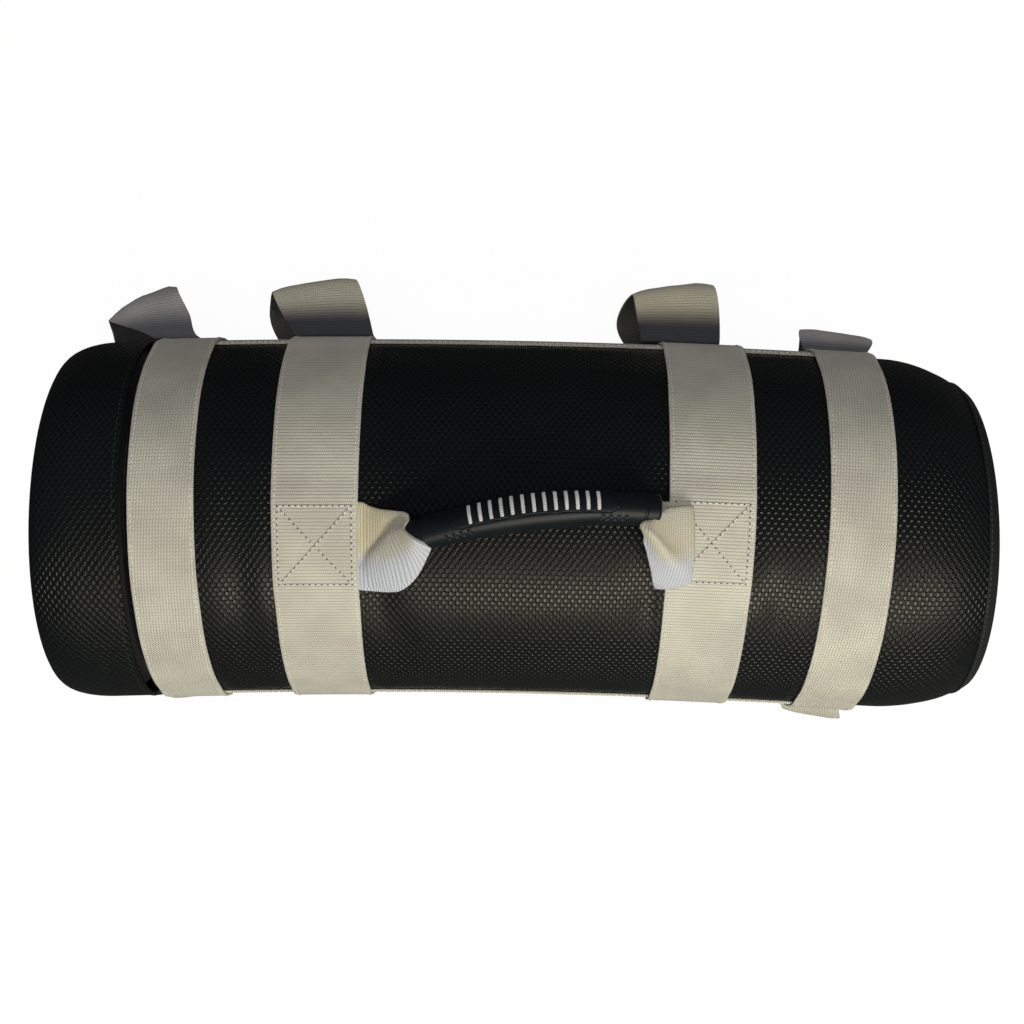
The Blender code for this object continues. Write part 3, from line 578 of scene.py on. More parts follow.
def effect_tree(effect: Effect, inputs: dict[str, tuple], outputs: dict[str, str]) -> Shades:
    """New node group with its sockets.

    Args:
        effect: effect that the group makes.
        inputs: type and value of each input.
        outputs: type of each output.

    Returns:
        The group's tree, with its two end nodes in it.
    """
    tree = bpy.data.node_groups.new(effect.value, "ShaderNodeTree")
    for name, (kind, value) in inputs.items():
        socket = tree.interface.new_socket(name, in_out="INPUT", socket_type=kind)
        if value is not None:
            socket.default_value = value
    for name, kind in outputs.items():
        tree.interface.new_socket(name, in_out="OUTPUT", socket_type=kind)
    shades = Shades(tree)
    shades.start = shades.node("NodeGroupInput").outputs
    shades.end = shades.node("NodeGroupOutput").inputs
    return shades


FLOAT = "NodeSocketFloat"
VECTOR = "NodeSocketVector"
COLOUR = "NodeSocketColor"


def make_weave() -> None:
    """Group of woven ribs across a strap, each a row of beads that may slant."""
    shades = effect_tree(
        Effect.WEAVE,
        {
            "Vector": (VECTOR, None), "Rib Pitch": (FLOAT, 0.002), "Bead Pitch": (FLOAT, 0.001),
            "Slant": (FLOAT, 0.0), "Half Width": (FLOAT, 0.025), "Beading": (FLOAT, 0.6),
        },
        {"Height": FLOAT, "Groove": FLOAT, "Edge": FLOAT},
    )
    across, along, _ = shades.axes(shades.start["Vector"])
    ribs = shades.math("DIVIDE", along, shades.start["Rib Pitch"])
    slanted = shades.math("MULTIPLY_ADD", along, shades.start["Slant"], across)
    beads = shades.math("DIVIDE", slanted, shades.start["Bead Pitch"])
    beads = shades.math("MULTIPLY_ADD", shades.math("FLOOR", ribs), 0.5, beads)
    beading = shades.start["Beading"]
    ribbing = shades.math("SUBTRACT", 1.28, beading)
    flat = shades.math("MULTIPLY", shades.softened(shades.ridge(ribs), ribbing),
                       shades.softened(shades.ridge(beads), beading))
    to_edge = shades.math("SUBTRACT", shades.start["Half Width"], shades.math("ABSOLUTE", across))
    edge = shades.ramp(to_edge, 0.0013, 0.0008)
    knots = shades.math("POWER", shades.ridge(shades.math("DIVIDE", along, 0.0013)), 0.7)
    edged = shades.math("ADD", shades.math("MULTIPLY", edge, knots),
                        shades.math("MULTIPLY", shades.less(edge), flat))
    shades.feed(shades.end["Height"], edged)
    shades.feed(shades.end["Groove"], shades.ramp(edged, 0.12, 0.75, 1.0, 0.0))
    shades.feed(shades.end["Edge"], edge)


def make_emboss() -> None:
    """Group of small embossed squares that stand on their corners."""
    shades = effect_tree(
        Effect.EMBOSS,
        {"Vector": (VECTOR, None), "Pitch Along": (FLOAT, 0.0041), "Pitch Round": (FLOAT, 0.0058)},
        {"Height": FLOAT, "Hollow": FLOAT},
    )
    waves = []
    for axis, pitch in zip(shades.axes(shades.start["Vector"]), ("Pitch Along", "Pitch Round")):
        turn = shades.math("DIVIDE", axis, shades.start[pitch])
        waves.append(shades.math("COSINE", shades.math("MULTIPLY", turn, TURN)))
    squares = shades.math("MULTIPLY", *waves)
    shades.feed(shades.end["Height"], shades.ramp(squares, -0.55, 0.45))
    shades.feed(shades.end["Hollow"], shades.ramp(squares, -0.25, -0.8))


def make_tone() -> None:
    """Group of a colour that changes in clouds and fine flecks."""
    shades = effect_tree(
        Effect.TONE,
        {
            "Vector": (VECTOR, None), "Light": (COLOUR, None), "Dark": (COLOUR, None),
            "Cloud Scale": (FLOAT, 20.0), "Fleck Scale": (FLOAT, 900.0), "Fleck": (FLOAT, 0.3),
        },
        {"Color": COLOUR, "Cloud": FLOAT},
    )
    cloud = shades.noise(shades.start["Vector"], shades.start["Cloud Scale"], 4.0)
    fleck = shades.noise(shades.start["Vector"], shades.start["Fleck Scale"], 1.0)
    spread = shades.ramp(cloud, 0.3, 0.7)
    flecked = shades.math("MULTIPLY", shades.math("SUBTRACT", fleck, 0.5), shades.start["Fleck"])
    share = shades.math("ADD", spread, flecked)
    colour = shades.blend(share, shades.start["Light"], shades.start["Dark"])
    shades.feed(shades.end["Color"], colour)
    shades.feed(shades.end["Cloud"], spread)


class FinishTree(Shades):
    """Node tree of one finish, with its shader."""

    def __init__(self, name: str) -> None:
        """Makes the material.

        Args:
            name: name of the material.
        """
        self.material = bpy.data.materials.new(name)
        self.material.use_nodes = True
        super().__init__(self.material.node_tree)
        self.shader = self.tree.nodes["Principled BSDF"]
        self.cloth = self.node("ShaderNodeUVMap", uv_map=CLOTH_MAP).outputs[0]
        self.place = self.node("ShaderNodeTexCoord").outputs["Object"]

    def effect(self, effect: Effect, **values: object) -> bpy.types.NodeOutputs:
        """Places a shared effect with its values.

        Args:
            effect: which one.
            values: value or socket of each input, with _ for each space in its name.

        Returns:
            The outputs of the effect.
        """
        group = self.node("ShaderNodeGroup", node_tree=bpy.data.node_groups[effect.value])
        for key, value in values.items():
            self.feed(group.inputs[key.replace("_", " ")], value)
        return group.outputs

    def set(self, **values: object) -> None:
        """Sets or feeds the shader's sockets, with _ for each space in their names."""
        for key, value in values.items():
            self.feed(self.shader.inputs[key.replace("_", " ")], value)

    def relief(self, height: object, depth: float, below: object = None) -> bpy.types.NodeSocket:
        """Normal of a relief.

        Args:
            height: its height as a share.
            depth: its full height in metres.
            below: normal of a relief under it.

        Returns:
            The socket with the normal.
        """
        bump = self.node("ShaderNodeBump")
        bump.inputs["Distance"].default_value = depth
        self.feed(bump.inputs["Height"], height)
        if below is not None:
            self.feed(bump.inputs["Normal"], below)
        return bump.outputs[0]


# Finishes


@dataclass(frozen=True)
class VinylFinish:
    """Coated vinyl, embossed with small squares."""

    name: str = "black_vinyl"
    light: tuple = (0.0060, 0.0085, 0.0100, 1)
    dark: tuple = (0.0030, 0.0045, 0.0065, 1)
    # colour in the embossing's hollows: painted shade
    hollow_shade: tuple = (0.0010, 0.0013, 0.0018, 1)
    pitch_along: float = 0.0041
    pitch_round: float = 0.0058
    depth: float = 0.00046
    roughness: float = 0.305
    specular: float = 0.44
    gloss: tuple = (1.0, 0.93, 0.80, 1)

    def material(self) -> bpy.types.Material:
        """Builds the material.

        Returns:
            The material.
        """
        tree = FinishTree(self.name)
        emboss = tree.effect(
            Effect.EMBOSS, Vector=tree.cloth, Pitch_Along=self.pitch_along,
            Pitch_Round=self.pitch_round,
        )
        tone = tree.effect(
            Effect.TONE, Vector=tree.place, Light=self.light, Dark=self.dark, Cloud_Scale=9.0,
            Fleck_Scale=600.0, Fleck=0.2,
        )
        grain = tree.noise(tree.place, 1800.0, 3.0)
        # The embossing's hollows take a darker colour: painted shade in the hollows.
        colour = tree.blend(emboss["Hollow"], tone["Color"], self.hollow_shade)
        rough = tree.math("MULTIPLY_ADD", tone["Cloud"], 0.10, self.roughness - 0.04)
        rough = tree.math("MULTIPLY_ADD", emboss["Hollow"], 0.25, rough)
        fine = tree.relief(grain, 0.00003)
        tree.set(
            Base_Color=colour, Roughness=rough, Specular_IOR_Level=self.specular,
            Specular_Tint=self.gloss,
            Normal=tree.relief(emboss["Height"], self.depth, fine),
        )
        return tree.material


@dataclass(frozen=True)
class WebbingFinish:
    """Woven webbing: ribs across it, or slanted dashes."""

    name: str
    light: tuple
    dark: tuple
    # colour of the weave's grooves: painted shade
    groove: tuple
    rib_pitch: float = 0.0020
    bead_pitch: float = 0.0012
    slant: float = 0.0
    half_width: float = 0.025
    beading: float = 0.6
    foot_shade: float = 0.0
    # colour of one edge: painted cool light on that side
    painted_sky_light_edge: tuple = ()
    # colour over the loop's crown: painted shade where it curves away from the light
    crown_shade: tuple = (0.40, 0.36, 0.35, 1)
    shadow: tuple = (0.035, 0.040, 0.055, 1)
    cloud_scale: float = 28.0
    depth: float = 0.00032
    roughness: float = 0.78
    sheen: float = 0.25

    def material(self) -> bpy.types.Material:
        """Builds the material.

        Returns:
            The material.
        """
        tree = FinishTree(self.name)
        weave = tree.effect(
            Effect.WEAVE, Vector=tree.cloth, Rib_Pitch=self.rib_pitch, Bead_Pitch=self.bead_pitch,
            Slant=self.slant, Half_Width=self.half_width, Beading=self.beading,
        )
        tone = tree.effect(
            Effect.TONE, Vector=tree.place, Light=self.light, Dark=self.dark,
            Cloud_Scale=self.cloud_scale, Fleck_Scale=1500.0, Fleck=0.5,
        )
        fuzz = tree.noise(tree.place, 4000.0, 2.0)
        face = tone["Color"]
        # One edge turns bluish white: painted cool light from one side.
        if self.painted_sky_light_edge:
            across = tree.axes(tree.cloth)[0]
            face = tree.blend(tree.ramp(across, -0.002, 0.010, 0.0, 0.85), face, self.painted_sky_light_edge)
        # The weave's grooves are darkened towards the groove colour: painted shade.
        colour = tree.blend(tree.math("MULTIPLY", weave["Groove"], 0.7), face, self.groove)
        # The loops are coloured by their lift mark: painted shadow at the feet and on the inside,
        # painted shade over the crown.
        if self.foot_shade:
            lift = tree.node("ShaderNodeAttribute", attribute_name=LIFT).outputs["Fac"]
            crown_shaded = tree.blend(tree.ramp(lift, 0.80, 0.97, 0.0, 0.75), colour, self.crown_shade)
            colour = tree.blend(tree.ramp(lift, 0.20, 0.66, self.foot_shade, 0.0), crown_shaded,
                                self.shadow)
        rough = tree.math("MULTIPLY_ADD", weave["Groove"], 0.12, self.roughness)
        fine = tree.relief(fuzz, 0.00004)
        tree.set(
            Base_Color=colour, Roughness=rough, Sheen_Weight=self.sheen, Sheen_Roughness=0.4,
            Normal=tree.relief(weave["Height"], self.depth, fine),
        )
        return tree.material


@dataclass(frozen=True)
class MouldedFinish:
    """Moulded rubber or plastic with a fine grain."""

    name: str
    light: tuple
    dark: tuple
    roughness: float
    grain_scale: float = 1500.0
    grain_depth: float = 0.00005
    metallic: float = 0.0
    specular: float = 0.5

    def material(self) -> bpy.types.Material:
        """Builds the material.

        Returns:
            The material.
        """
        tree = FinishTree(self.name)
        tone = tree.effect(
            Effect.TONE, Vector=tree.place, Light=self.light, Dark=self.dark, Cloud_Scale=60.0,
            Fleck_Scale=self.grain_scale, Fleck=0.3,
        )
        grain = tree.noise(tree.place, self.grain_scale, 3.0)
        rough = tree.math("MULTIPLY_ADD", grain, 0.15, self.roughness - 0.07)
        tree.set(
            Base_Color=tone["Color"], Roughness=rough, Metallic=self.metallic,
            Specular_IOR_Level=self.specular,
            Normal=tree.relief(grain, self.grain_depth),
        )
        return tree.material


@dataclass
class Finishes:
    """Every finish of the trainer, by its name."""

    ready: dict[str, bpy.types.Material] = field(default_factory=dict)

    def __post_init__(self) -> None:
        """Builds the shared effects and then the finishes."""
        make_weave()
        make_emboss()
        make_tone()
        cream = (0.69, 0.67, 0.55, 1)
        stone = (0.57, 0.545, 0.46, 1)
        shade = (0.13, 0.12, 0.10, 1)
        for finish in (
            VinylFinish(),
            WebbingFinish("ribbed_webbing", cream, stone, shade),
            # Aged webbing of the tabs: cloudy yellowed tone, with painted cool light along one
            # edge.
            WebbingFinish(
                "aged_webbing_with_painted_light", (0.72, 0.64, 0.41, 1), (0.68, 0.65, 0.54, 1), shade,
                half_width=0.0244, depth=0.00042, cloud_scale=52.0,
                painted_sky_light_edge=(0.64, 0.69, 0.78, 1),
            ),
            WebbingFinish(
                "dashed_webbing", cream, stone, shade, rib_pitch=0.0021, bead_pitch=0.0017,
                slant=0.35, half_width=0.01925, beading=0.85, depth=0.00038,
            ),
            # The wide loops' colours are lighter than the bands': painted light on their lit
            # middles.
            WebbingFinish(
                "wide_loop_webbing", (0.94, 0.87, 0.60, 1), (0.84, 0.79, 0.62, 1), shade,
                foot_shade=0.96, sheen=0.08,
            ),
            WebbingFinish(
                "narrow_loop_webbing", (0.62, 0.58, 0.53, 1), (0.50, 0.49, 0.50, 1), shade,
                half_width=0.01925, foot_shade=0.75, depth=0.00022, sheen=0.08,
            ),
            WebbingFinish(
                "black_binding", (0.009, 0.010, 0.011, 1), (0.005, 0.006, 0.007, 1),
                (0.002, 0.002, 0.002, 1), rib_pitch=0.0011, bead_pitch=0.0011, depth=0.00012,
                roughness=0.6, sheen=0.03,
            ),
            WebbingFinish(
                "zip_cloth", (0.020, 0.020, 0.022, 1), (0.012, 0.012, 0.014, 1),
                (0.004, 0.004, 0.004, 1), rib_pitch=0.0009, bead_pitch=0.0014, slant=0.5,
                depth=0.0001, sheen=0.15,
            ),
            WebbingFinish(
                "liner_cloth", (0.12, 0.12, 0.13, 1), (0.08, 0.08, 0.09, 1),
                (0.03, 0.03, 0.03, 1), rib_pitch=0.0012, bead_pitch=0.0012, depth=0.0001,
            ),
            WebbingFinish(
                "tie_cord", (0.62, 0.60, 0.56, 1), (0.50, 0.48, 0.44, 1), (0.2, 0.19, 0.17, 1),
                rib_pitch=0.0012, bead_pitch=0.0012, slant=0.9,
            ),
            MouldedFinish("thread", (0.80, 0.78, 0.70, 1), (0.66, 0.64, 0.56, 1), 0.6, 3000.0),
            MouldedFinish("dark_thread", (0.030, 0.030, 0.030, 1), (0.015, 0.015, 0.015, 1), 0.6),
            MouldedFinish("grey_thread", (0.060, 0.055, 0.045, 1), (0.030, 0.030, 0.028, 1), 0.6),
            MouldedFinish("grip_rubber", (0.007, 0.010, 0.012, 1), (0.004, 0.006, 0.008, 1), 0.40,
                          specular=0.26),
            MouldedFinish("stripe_insert", (0.70, 0.69, 0.67, 1), (0.50, 0.50, 0.49, 1), 0.5),
            MouldedFinish("zip_coil", (0.025, 0.025, 0.027, 1), (0.015, 0.015, 0.016, 1), 0.35),
            MouldedFinish("zinc", (0.62, 0.61, 0.60, 1), (0.45, 0.45, 0.45, 1), 0.32, 900.0,
                          0.00002, 1.0),
            MouldedFinish("sand", (0.60, 0.48, 0.33, 1), (0.42, 0.32, 0.21, 1), 0.95, 1100.0,
                          0.0006),
        ):
            self.ready[finish.name] = finish.material()

    def dress(self, item: bpy.types.Object, name: str) -> None:
        """Gives a piece one finish."""
        item.data.materials.clear()
        item.data.materials.append(self.ready[name])


# Stitches


@dataclass
class Seam:
    """Row of stitches: short rounds of thread that dip into the cloth between them."""

    length: float = 0.0026
    gap: float = 0.0009
    radius: float = 0.00034
    sides: int = 6
    sections: int = 6

    def add(self, work: bmesh.types.BMesh, path: list[Vector]) -> None:
        """Adds the stitches along a path.

        Args:
            work: mesh that takes them.
            path: points on the surface that the seam follows.
        """
        run = [0.0]
        for near, far in zip(path, path[1:]):
            run.append(run[-1] + (far - near).length)
        pitch = self.length + self.gap
        count = max(1, int(run[-1] / pitch))
        spare = run[-1] / count
        for index in range(count):
            start = spare * index + self.gap / 2
            self.add_stitch(work, path, run, start, start + spare - self.gap)

    def point(self, path: list[Vector], run: list[float], distance: float) -> Vector:
        """Place along a path.

        Args:
            path: points of the path.
            run: distance of each point from its start.
            distance: distance that is wanted.

        Returns:
            The place.
        """
        index = 1
        while index < len(run) - 1 and run[index] < distance:
            index += 1
        share = (distance - run[index - 1]) / max(run[index] - run[index - 1], 1e-9)
        return path[index - 1].lerp(path[index], share)

    def add_stitch(self, work: bmesh.types.BMesh, path: list[Vector], run: list[float],
                   start: float, end: float) -> None:
        """Adds one stitch.

        Args:
            work: mesh that takes it.
            path: points of the path that it lies on.
            run: distance of each point from the path's start.
            start: distance at which the stitch starts.
            end: distance at which it ends.
        """
        rings = []
        for section in range(self.sections + 1):
            share = section / self.sections
            centre = self.point(path, run, mix(start, end, share))
            ahead = self.point(path, run, min(mix(start, end, share + 0.1), run[-1]))
            behind = self.point(path, run, max(mix(start, end, share - 0.1), 0.0))
            along = (ahead - behind).normalized()
            side = along.cross(Vector((0.02, 0.03, 1))).normalized()
            up = side.cross(along)
            full = math.sqrt(max(0.03, 1 - (2 * share - 1) ** 4))
            ring = []
            for corner in range(self.sides):
                turn = TURN * corner / self.sides
                off = side * math.cos(turn) + up * math.sin(turn)
                ring.append(work.verts.new(centre + off * self.radius * full))
            rings.append(ring)
        for near, far in zip(rings, rings[1:]):
            for corner in range(self.sides):
                following = (corner + 1) % self.sides
                work.faces.new((near[corner], near[following], far[following], far[corner]))
        work.faces.new(rings[0][::-1])
        work.faces.new(rings[-1])


def seam_mesh(name: str, paths: list[list[Vector]], seam: Seam) -> bpy.types.Mesh:
    """Mesh of the stitches along several paths.

    Args:
        name: name of the mesh.
        paths: points of each path.
        seam: kind of stitch.

    Returns:
        The finished mesh.
    """
    work = bmesh.new()
    for path in paths:
        seam.add(work, path)
    mesh = bpy.data.meshes.new(name)
    work.to_mesh(mesh)
    work.free()
    return tidy_mesh(mesh, 80.0)


# Turned pieces


def turned_mesh(
    name: str,
    outline: list[tuple[float, float]],
    place: Callable[[float, float, float], Vector],
    steps: int,
    closed: bool = True,
    flat_map: bool = False,
) -> bpy.types.Mesh:
    """Turns an outline of (x, radius) points about the bag.

    Args:
        name: name of the mesh.
        outline: points of the outline.
        place: gives the place from x, angle and radius.
        steps: steps of one turn.
        closed: whether the outline's last point joins its first.
        flat_map: whether the map lies flat across the end instead of round the bag.

    Returns:
        The finished mesh.
    """
    angles = [TURN * step / steps - math.pi for step in range(steps + 1)]
    rows = [[place(x, angle, radius) for angle in angles[:-1]] for x, radius in outline]
    run = [outline[0][0]]
    for near, far in zip(outline, outline[1:] + outline[:1]):
        run.append(run[-1] + math.dist(near, far))
    widest = max(radius for _, radius in outline)
    cloth = []
    for index, travelled in enumerate(run):
        radius = outline[index % len(outline)][1]
        if flat_map:
            cloth.append([(radius * math.sin(angle), radius * math.cos(angle))
                          for angle in angles])
        else:
            cloth.append([(travelled, angle * widest) for angle in angles])
    return skin_mesh(name, rows, cloth, wrap_rows=closed, wrap_columns=True)


def dome_line(x: float, dome: float, radius: float, count: int = 14) -> list[tuple[float, float]]:
    """Line of (x, radius) over a face that is domed towards its middle, which comes first."""
    return [(x + dome * (1 - share ** 2), max(radius * share, PINHOLE))
            for share in even_shares(count)]


def corner_line(x: float, radius: float, run: float, rise: float,
                count: int) -> list[tuple[float, float]]:
    """Line of (x, radius) round a corner that runs along the bag and rises outwards."""
    return [(x + run * (1 - math.cos(TURN / 4 * share)), radius + rise * math.sin(TURN / 4 * share))
            for share in even_shares(count)]


def wall_outline(line: list[tuple[float, float]], wall: float) -> list[tuple[float, float]]:
    """Closed outline of a wall under an outer line.

    Args:
        line: outer line of (x, radius) points, running along +X.
        wall: thickness of the wall.

    Returns:
        The outer line and then the inner one, backwards.
    """
    moved = []
    for index, point in enumerate(line):
        before = line[max(index - 1, 0)]
        after = line[min(index + 1, len(line) - 1)]
        run = math.dist(before, after)
        side = ((after[1] - before[1]) / run, -(after[0] - before[0]) / run)
        moved.append((point[0] + side[0] * wall, point[1] + side[1] * wall))
    return line + moved[::-1]


# Handing over


@dataclass
class Workshop:
    """What every sub-assembly works with, and how a finished piece is handed over."""

    form: BagForm
    finishes: Finishes

    def hand_over(self, mesh: bpy.types.Mesh, finish: str, slot: str, body: str = "bag",
                  nodes: tuple = ()) -> bpy.types.Object:
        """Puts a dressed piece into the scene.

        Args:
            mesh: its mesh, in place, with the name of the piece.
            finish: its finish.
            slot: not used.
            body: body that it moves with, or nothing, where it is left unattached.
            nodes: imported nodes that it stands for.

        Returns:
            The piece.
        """
        item = new_object(mesh.name, mesh)
        self.finishes.dress(item, finish)
        if nodes:
            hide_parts(*nodes)
        if body:
            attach(item, body)
        log.info("%s: %d faces", item.name, len(mesh.polygons))
        return item

    def sew(self, name: str, paths: list[list[Vector]], finish: str = "thread",
            slot: str = "grey_webbing", body: str = "bag", seam: Seam = Seam()) -> None:
        """Builds the stitches along paths as one piece."""
        self.hand_over(seam_mesh(name, paths, seam), finish, slot, body)

    def strap(self, name: str, rows: list[list[Vector]], finish: str, node: str,
              slot: str = "grey_webbing", body: str = "bag", thickness: float | None = None,
              closed: bool = False) -> None:
        """Builds a strap about the sheet in its middle, as thick as the webbing by default."""
        mesh = strap_mesh(name, rows, thickness or self.form.webbing_thickness, closed)
        self.hand_over(mesh, finish, slot, body, (node,))


@dataclass
class Assembly:
    """Sub-assembly of the trainer."""

    shop: Workshop

    @property
    def form(self) -> BagForm:
        """Form of the bag that it belongs to."""
        return self.shop.form


# Cover

SWELL_FRAMES = 20
CLOTH_SETTINGS = {
    "quality": 6, "mass": 0.25, "tension_stiffness": 25, "compression_stiffness": 25,
    "shear_stiffness": 10, "bending_stiffness": 2, "air_damping": 2, "vertex_group_mass": "held",
    "pin_stiffness": 5, "use_pressure": True,
}


def inflate(rows: list[list[Vector]], held: Callable[[int, int], float], pressure: float,
            cap: float) -> list[list[Vector]]:
    """Swells a tube of cloth under pressure from inside.

    Args:
        rows: rings of points, in order along the tube.
        held: share by which the point of a row and a column is held in place.
        pressure: pressure of the filling.
        cap: most that a point may move.

    Returns:
        The rings after the simulation, in the same order.
    """
    cloth = [[(0.0, 0.0)] * (len(rows[0]) + 1) for _ in rows]
    mesh = skin_mesh("cloth_form", rows, cloth, wrap_columns=True)
    item = new_object("cloth_form", mesh)
    group = item.vertex_groups.new(name=CLOTH_SETTINGS["vertex_group_mass"])
    count = len(rows[0])
    for i in range(len(rows)):
        for j in range(count):
            group.add([i * count + j], held(i, j), "REPLACE")
    sheet = item.modifiers.new("filling", "CLOTH")
    for setting, value in CLOTH_SETTINGS.items():
        setattr(sheet.settings, setting, value)
    sheet.settings.uniform_pressure_force = pressure
    sheet.settings.effector_weights.gravity = 0
    sheet.collision_settings.use_collision = False
    sheet.point_cache.frame_start = 1
    sheet.point_cache.frame_end = SWELL_FRAMES
    scene = bpy.context.scene
    for moment in range(1, SWELL_FRAMES + 1):
        scene.frame_set(moment)
    graph = bpy.context.evaluated_depsgraph_get()
    swollen = bpy.data.meshes.new_from_object(item.evaluated_get(graph))
    moved = []
    for i, row in enumerate(rows):
        line = []
        for j, point in enumerate(row):
            step = swollen.vertices[i * count + j].co - point
            if step.length > cap:
                step = step.normalized() * cap
            line.append(point + step * (1 - held(i, j)))
        moved.append(line)
    furthest = max((far - near).length for new, old in zip(moved, rows)
                   for far, near in zip(new, old))
    log.info("the cover swells by up to %.1f mm", furthest * 1000)
    scene.frame_set(1)
    bpy.data.objects.remove(item, do_unlink=True)
    bpy.data.meshes.remove(swollen)
    return moved


@dataclass
class Cover(Assembly):
    """Vinyl tube of the bag, with its rounded shoulder, and its closed end."""

    shoulder_start: float = 0.2295
    shoulder_radius: float = 0.100
    binding_leg: float = 0.0062
    seam_inset: float = 0.0016
    panel_recess: float = 0.0045
    panel_dome: float = 0.0040
    bulge: float = 0.0008
    unevenness: float = 0.6
    pressure: float = 4.0
    swell_cap: float = 0.0035
    ease: float = 0.008
    rim_ease: float = 0.020
    underside_ease: float = 0.2
    mouth_hold: float = 0.004
    band_hold: float = 0.001
    turn_steps: int = 200
    step_length: float = 0.0036
    dents: tuple = (
        (-0.080, -26.0, 0.012, 0.030, 0.0030), (-0.066, -42.0, 0.010, 0.020, 0.0016),
        (0.079, -26.0, 0.010, 0.028, 0.0026), (-0.070, 30.0, 0.020, 0.035, 0.0018),
        (0.155, -30.0, 0.008, 0.030, 0.0018), (-0.160, -20.0, 0.009, 0.050, 0.0014),
    )

    @property
    def rim(self) -> tuple[float, float]:
        """Place along the bag and radius of the tube's closed rim."""
        end = self.form.right_reach - self.form.fit_gap - self.form.webbing_thickness / 2
        return end, self.radius_at(end)

    def radius_at(self, x: float) -> float:
        """Radius of the cover at a place along the bag."""
        past = max(0.0, x - self.shoulder_start)
        return self.form.cover_radius - arc_drop(self.shoulder_radius, past)

    def free_share(self, x: float, angle: float, bands: list["Band"]) -> float:
        """Share by which the cover is free of straps and seams.

        Args:
            x: place along the bag.
            angle: angle round it.
            bands: the bands round the bag.

        Returns:
            The share, 0 where the cover is held fast.
        """
        form = self.form
        clear = [x - form.mouth - self.mouth_hold]
        clear += [abs(x - band.centre) - band.width / 2 + self.band_hold for band in bands]
        clear += [abs(math.remainder(angle - rail, TURN)) * form.cover_radius
                  - form.narrow_webbing / 2 for rail in (RAIL_FRONT, RAIL_BACK)]
        free = smooth_share((self.rim[0] - x) / self.rim_ease)
        free *= smooth_share((math.cos(angle) + 1) / self.underside_ease)
        for distance in clear:
            free *= smooth_share(distance / self.ease)
        return free

    def dent(self, x: float, angle: float) -> float:
        """Depth of the hollows where the straps pull at the cover.

        Args:
            x: place along the bag.
            angle: angle round it.

        Returns:
            The depth there.
        """
        depth = 0.0
        for dent_x, dent_angle, length, width, deep in self.dents:
            along = (x - dent_x) / length
            round_it = (angle - math.radians(dent_angle)) * self.form.cover_radius / width
            depth += deep * math.exp(-along ** 2 - round_it ** 2)
        return depth

    def build_tube(self, bands: list["Band"]) -> None:
        """Builds the tube with its wall, swollen by the sand inside.

        Args:
            bands: the bands that hold it in.
        """
        form = self.form
        end = self.rim[0]
        count = round((end - form.mouth) / self.step_length)
        stations = [mix(form.mouth, end, share) for share in even_shares(count)]
        angles = [TURN * step / self.turn_steps - math.pi for step in range(self.turn_steps)]

        def held(i: int, j: int) -> float:
            """Share by which a point is held by straps and seams."""
            return 1 - self.free_share(stations[i], angles[j], bands)

        plain = [[form.place(x, angle, self.radius_at(x)) for angle in angles] for x in stations]
        swollen = plain
        swollen = inflate(plain, held, self.pressure, self.swell_cap)
        outer = []
        inner = []
        for i, x in enumerate(stations):
            outer.append([])
            inner.append([])
            for j, angle in enumerate(angles):
                away = (form.place(x, angle, 1.0) - form.place(x, angle, 0.9)).normalized()
                bulge = self.bulge * (1 + self.unevenness * ripple(plain[i][j], 0.05, 2.0))
                change = (bulge - self.dent(x, angle)) * (1 - held(i, j))
                outer[i].append(swollen[i][j] + away * change)
                inner[i].append(outer[i][j] - away * form.cover_wall)
        run = stations + [x + 0.01 for x in stations[::-1]] + stations[:1]
        around = [angle * form.cover_radius for angle in angles + [math.pi]]
        cloth = [[(travelled, turned) for turned in around] for travelled in run]
        mesh = skin_mesh("cover_shell", outer + inner[::-1], cloth, wrap_rows=True,
                         wrap_columns=True)
        shell = self.shop.hand_over(mesh, "black_vinyl", "black_vinyl", nodes=("cover_tube",))

    def build_end(self) -> None:
        """Builds the end panel with its flange, and the binding over both edges."""
        form = self.form
        rim_x, rim_radius = self.rim
        flange = rim_radius - form.cover_wall - form.fit_gap
        face_radius = flange - form.cover_wall
        back_x = rim_x - self.binding_leg - self.panel_recess
        face = dome_line(back_x, self.panel_dome, face_radius)
        back = [(x - form.cover_wall, radius) for x, radius in face[::-1]]
        outline = face + [(rim_x, face_radius), (rim_x, flange), (back_x, flange)] + back
        mesh = turned_mesh("closed_end", outline, form.place, self.turn_steps, closed=False,
                           flat_map=True)
        self.shop.hand_over(mesh, "black_vinyl", "black_vinyl", nodes=("end_panel",))
        self.build_binding(rim_x, rim_radius, face_radius)

    def build_binding(self, rim_x: float, rim_radius: float, face_radius: float) -> None:
        """Builds the tape that is folded over the edges of tube and panel.

        Args:
            rim_x: place of the rim along the bag.
            rim_radius: radius of the tube there.
            face_radius: inner radius of the panel's flange.
        """
        form = self.form
        wall = form.webbing_thickness / 2
        leg = rim_x - self.binding_leg
        outer = form.fit_gap + wall / 2
        line = [
            (leg, self.radius_at(leg) + outer), (rim_x - wall, rim_radius + outer),
            (rim_x + outer, rim_radius - wall), (rim_x + outer, face_radius + wall),
            (rim_x - wall, face_radius - outer), (leg, face_radius - outer),
        ]
        path = curve_through(line, even_shares(26))
        rows = []
        for step in range(self.turn_steps):
            angle = TURN * step / self.turn_steps
            rows.append([form.place(x, angle, radius) for x, radius in path])
        self.shop.strap("end_binding_tape", rows, "black_binding", "end_binding",
                        "black_binding", thickness=wall, closed=True)
        seam_x = leg + self.seam_inset
        seam_radius = self.radius_at(seam_x) + outer + wall / 2
        path = [form.place(seam_x, TURN * share, seam_radius) for share in even_shares(240)]
        self.shop.sew("end_binding_stitches", [path], "grey_thread", "black_binding")


# Lid and zip


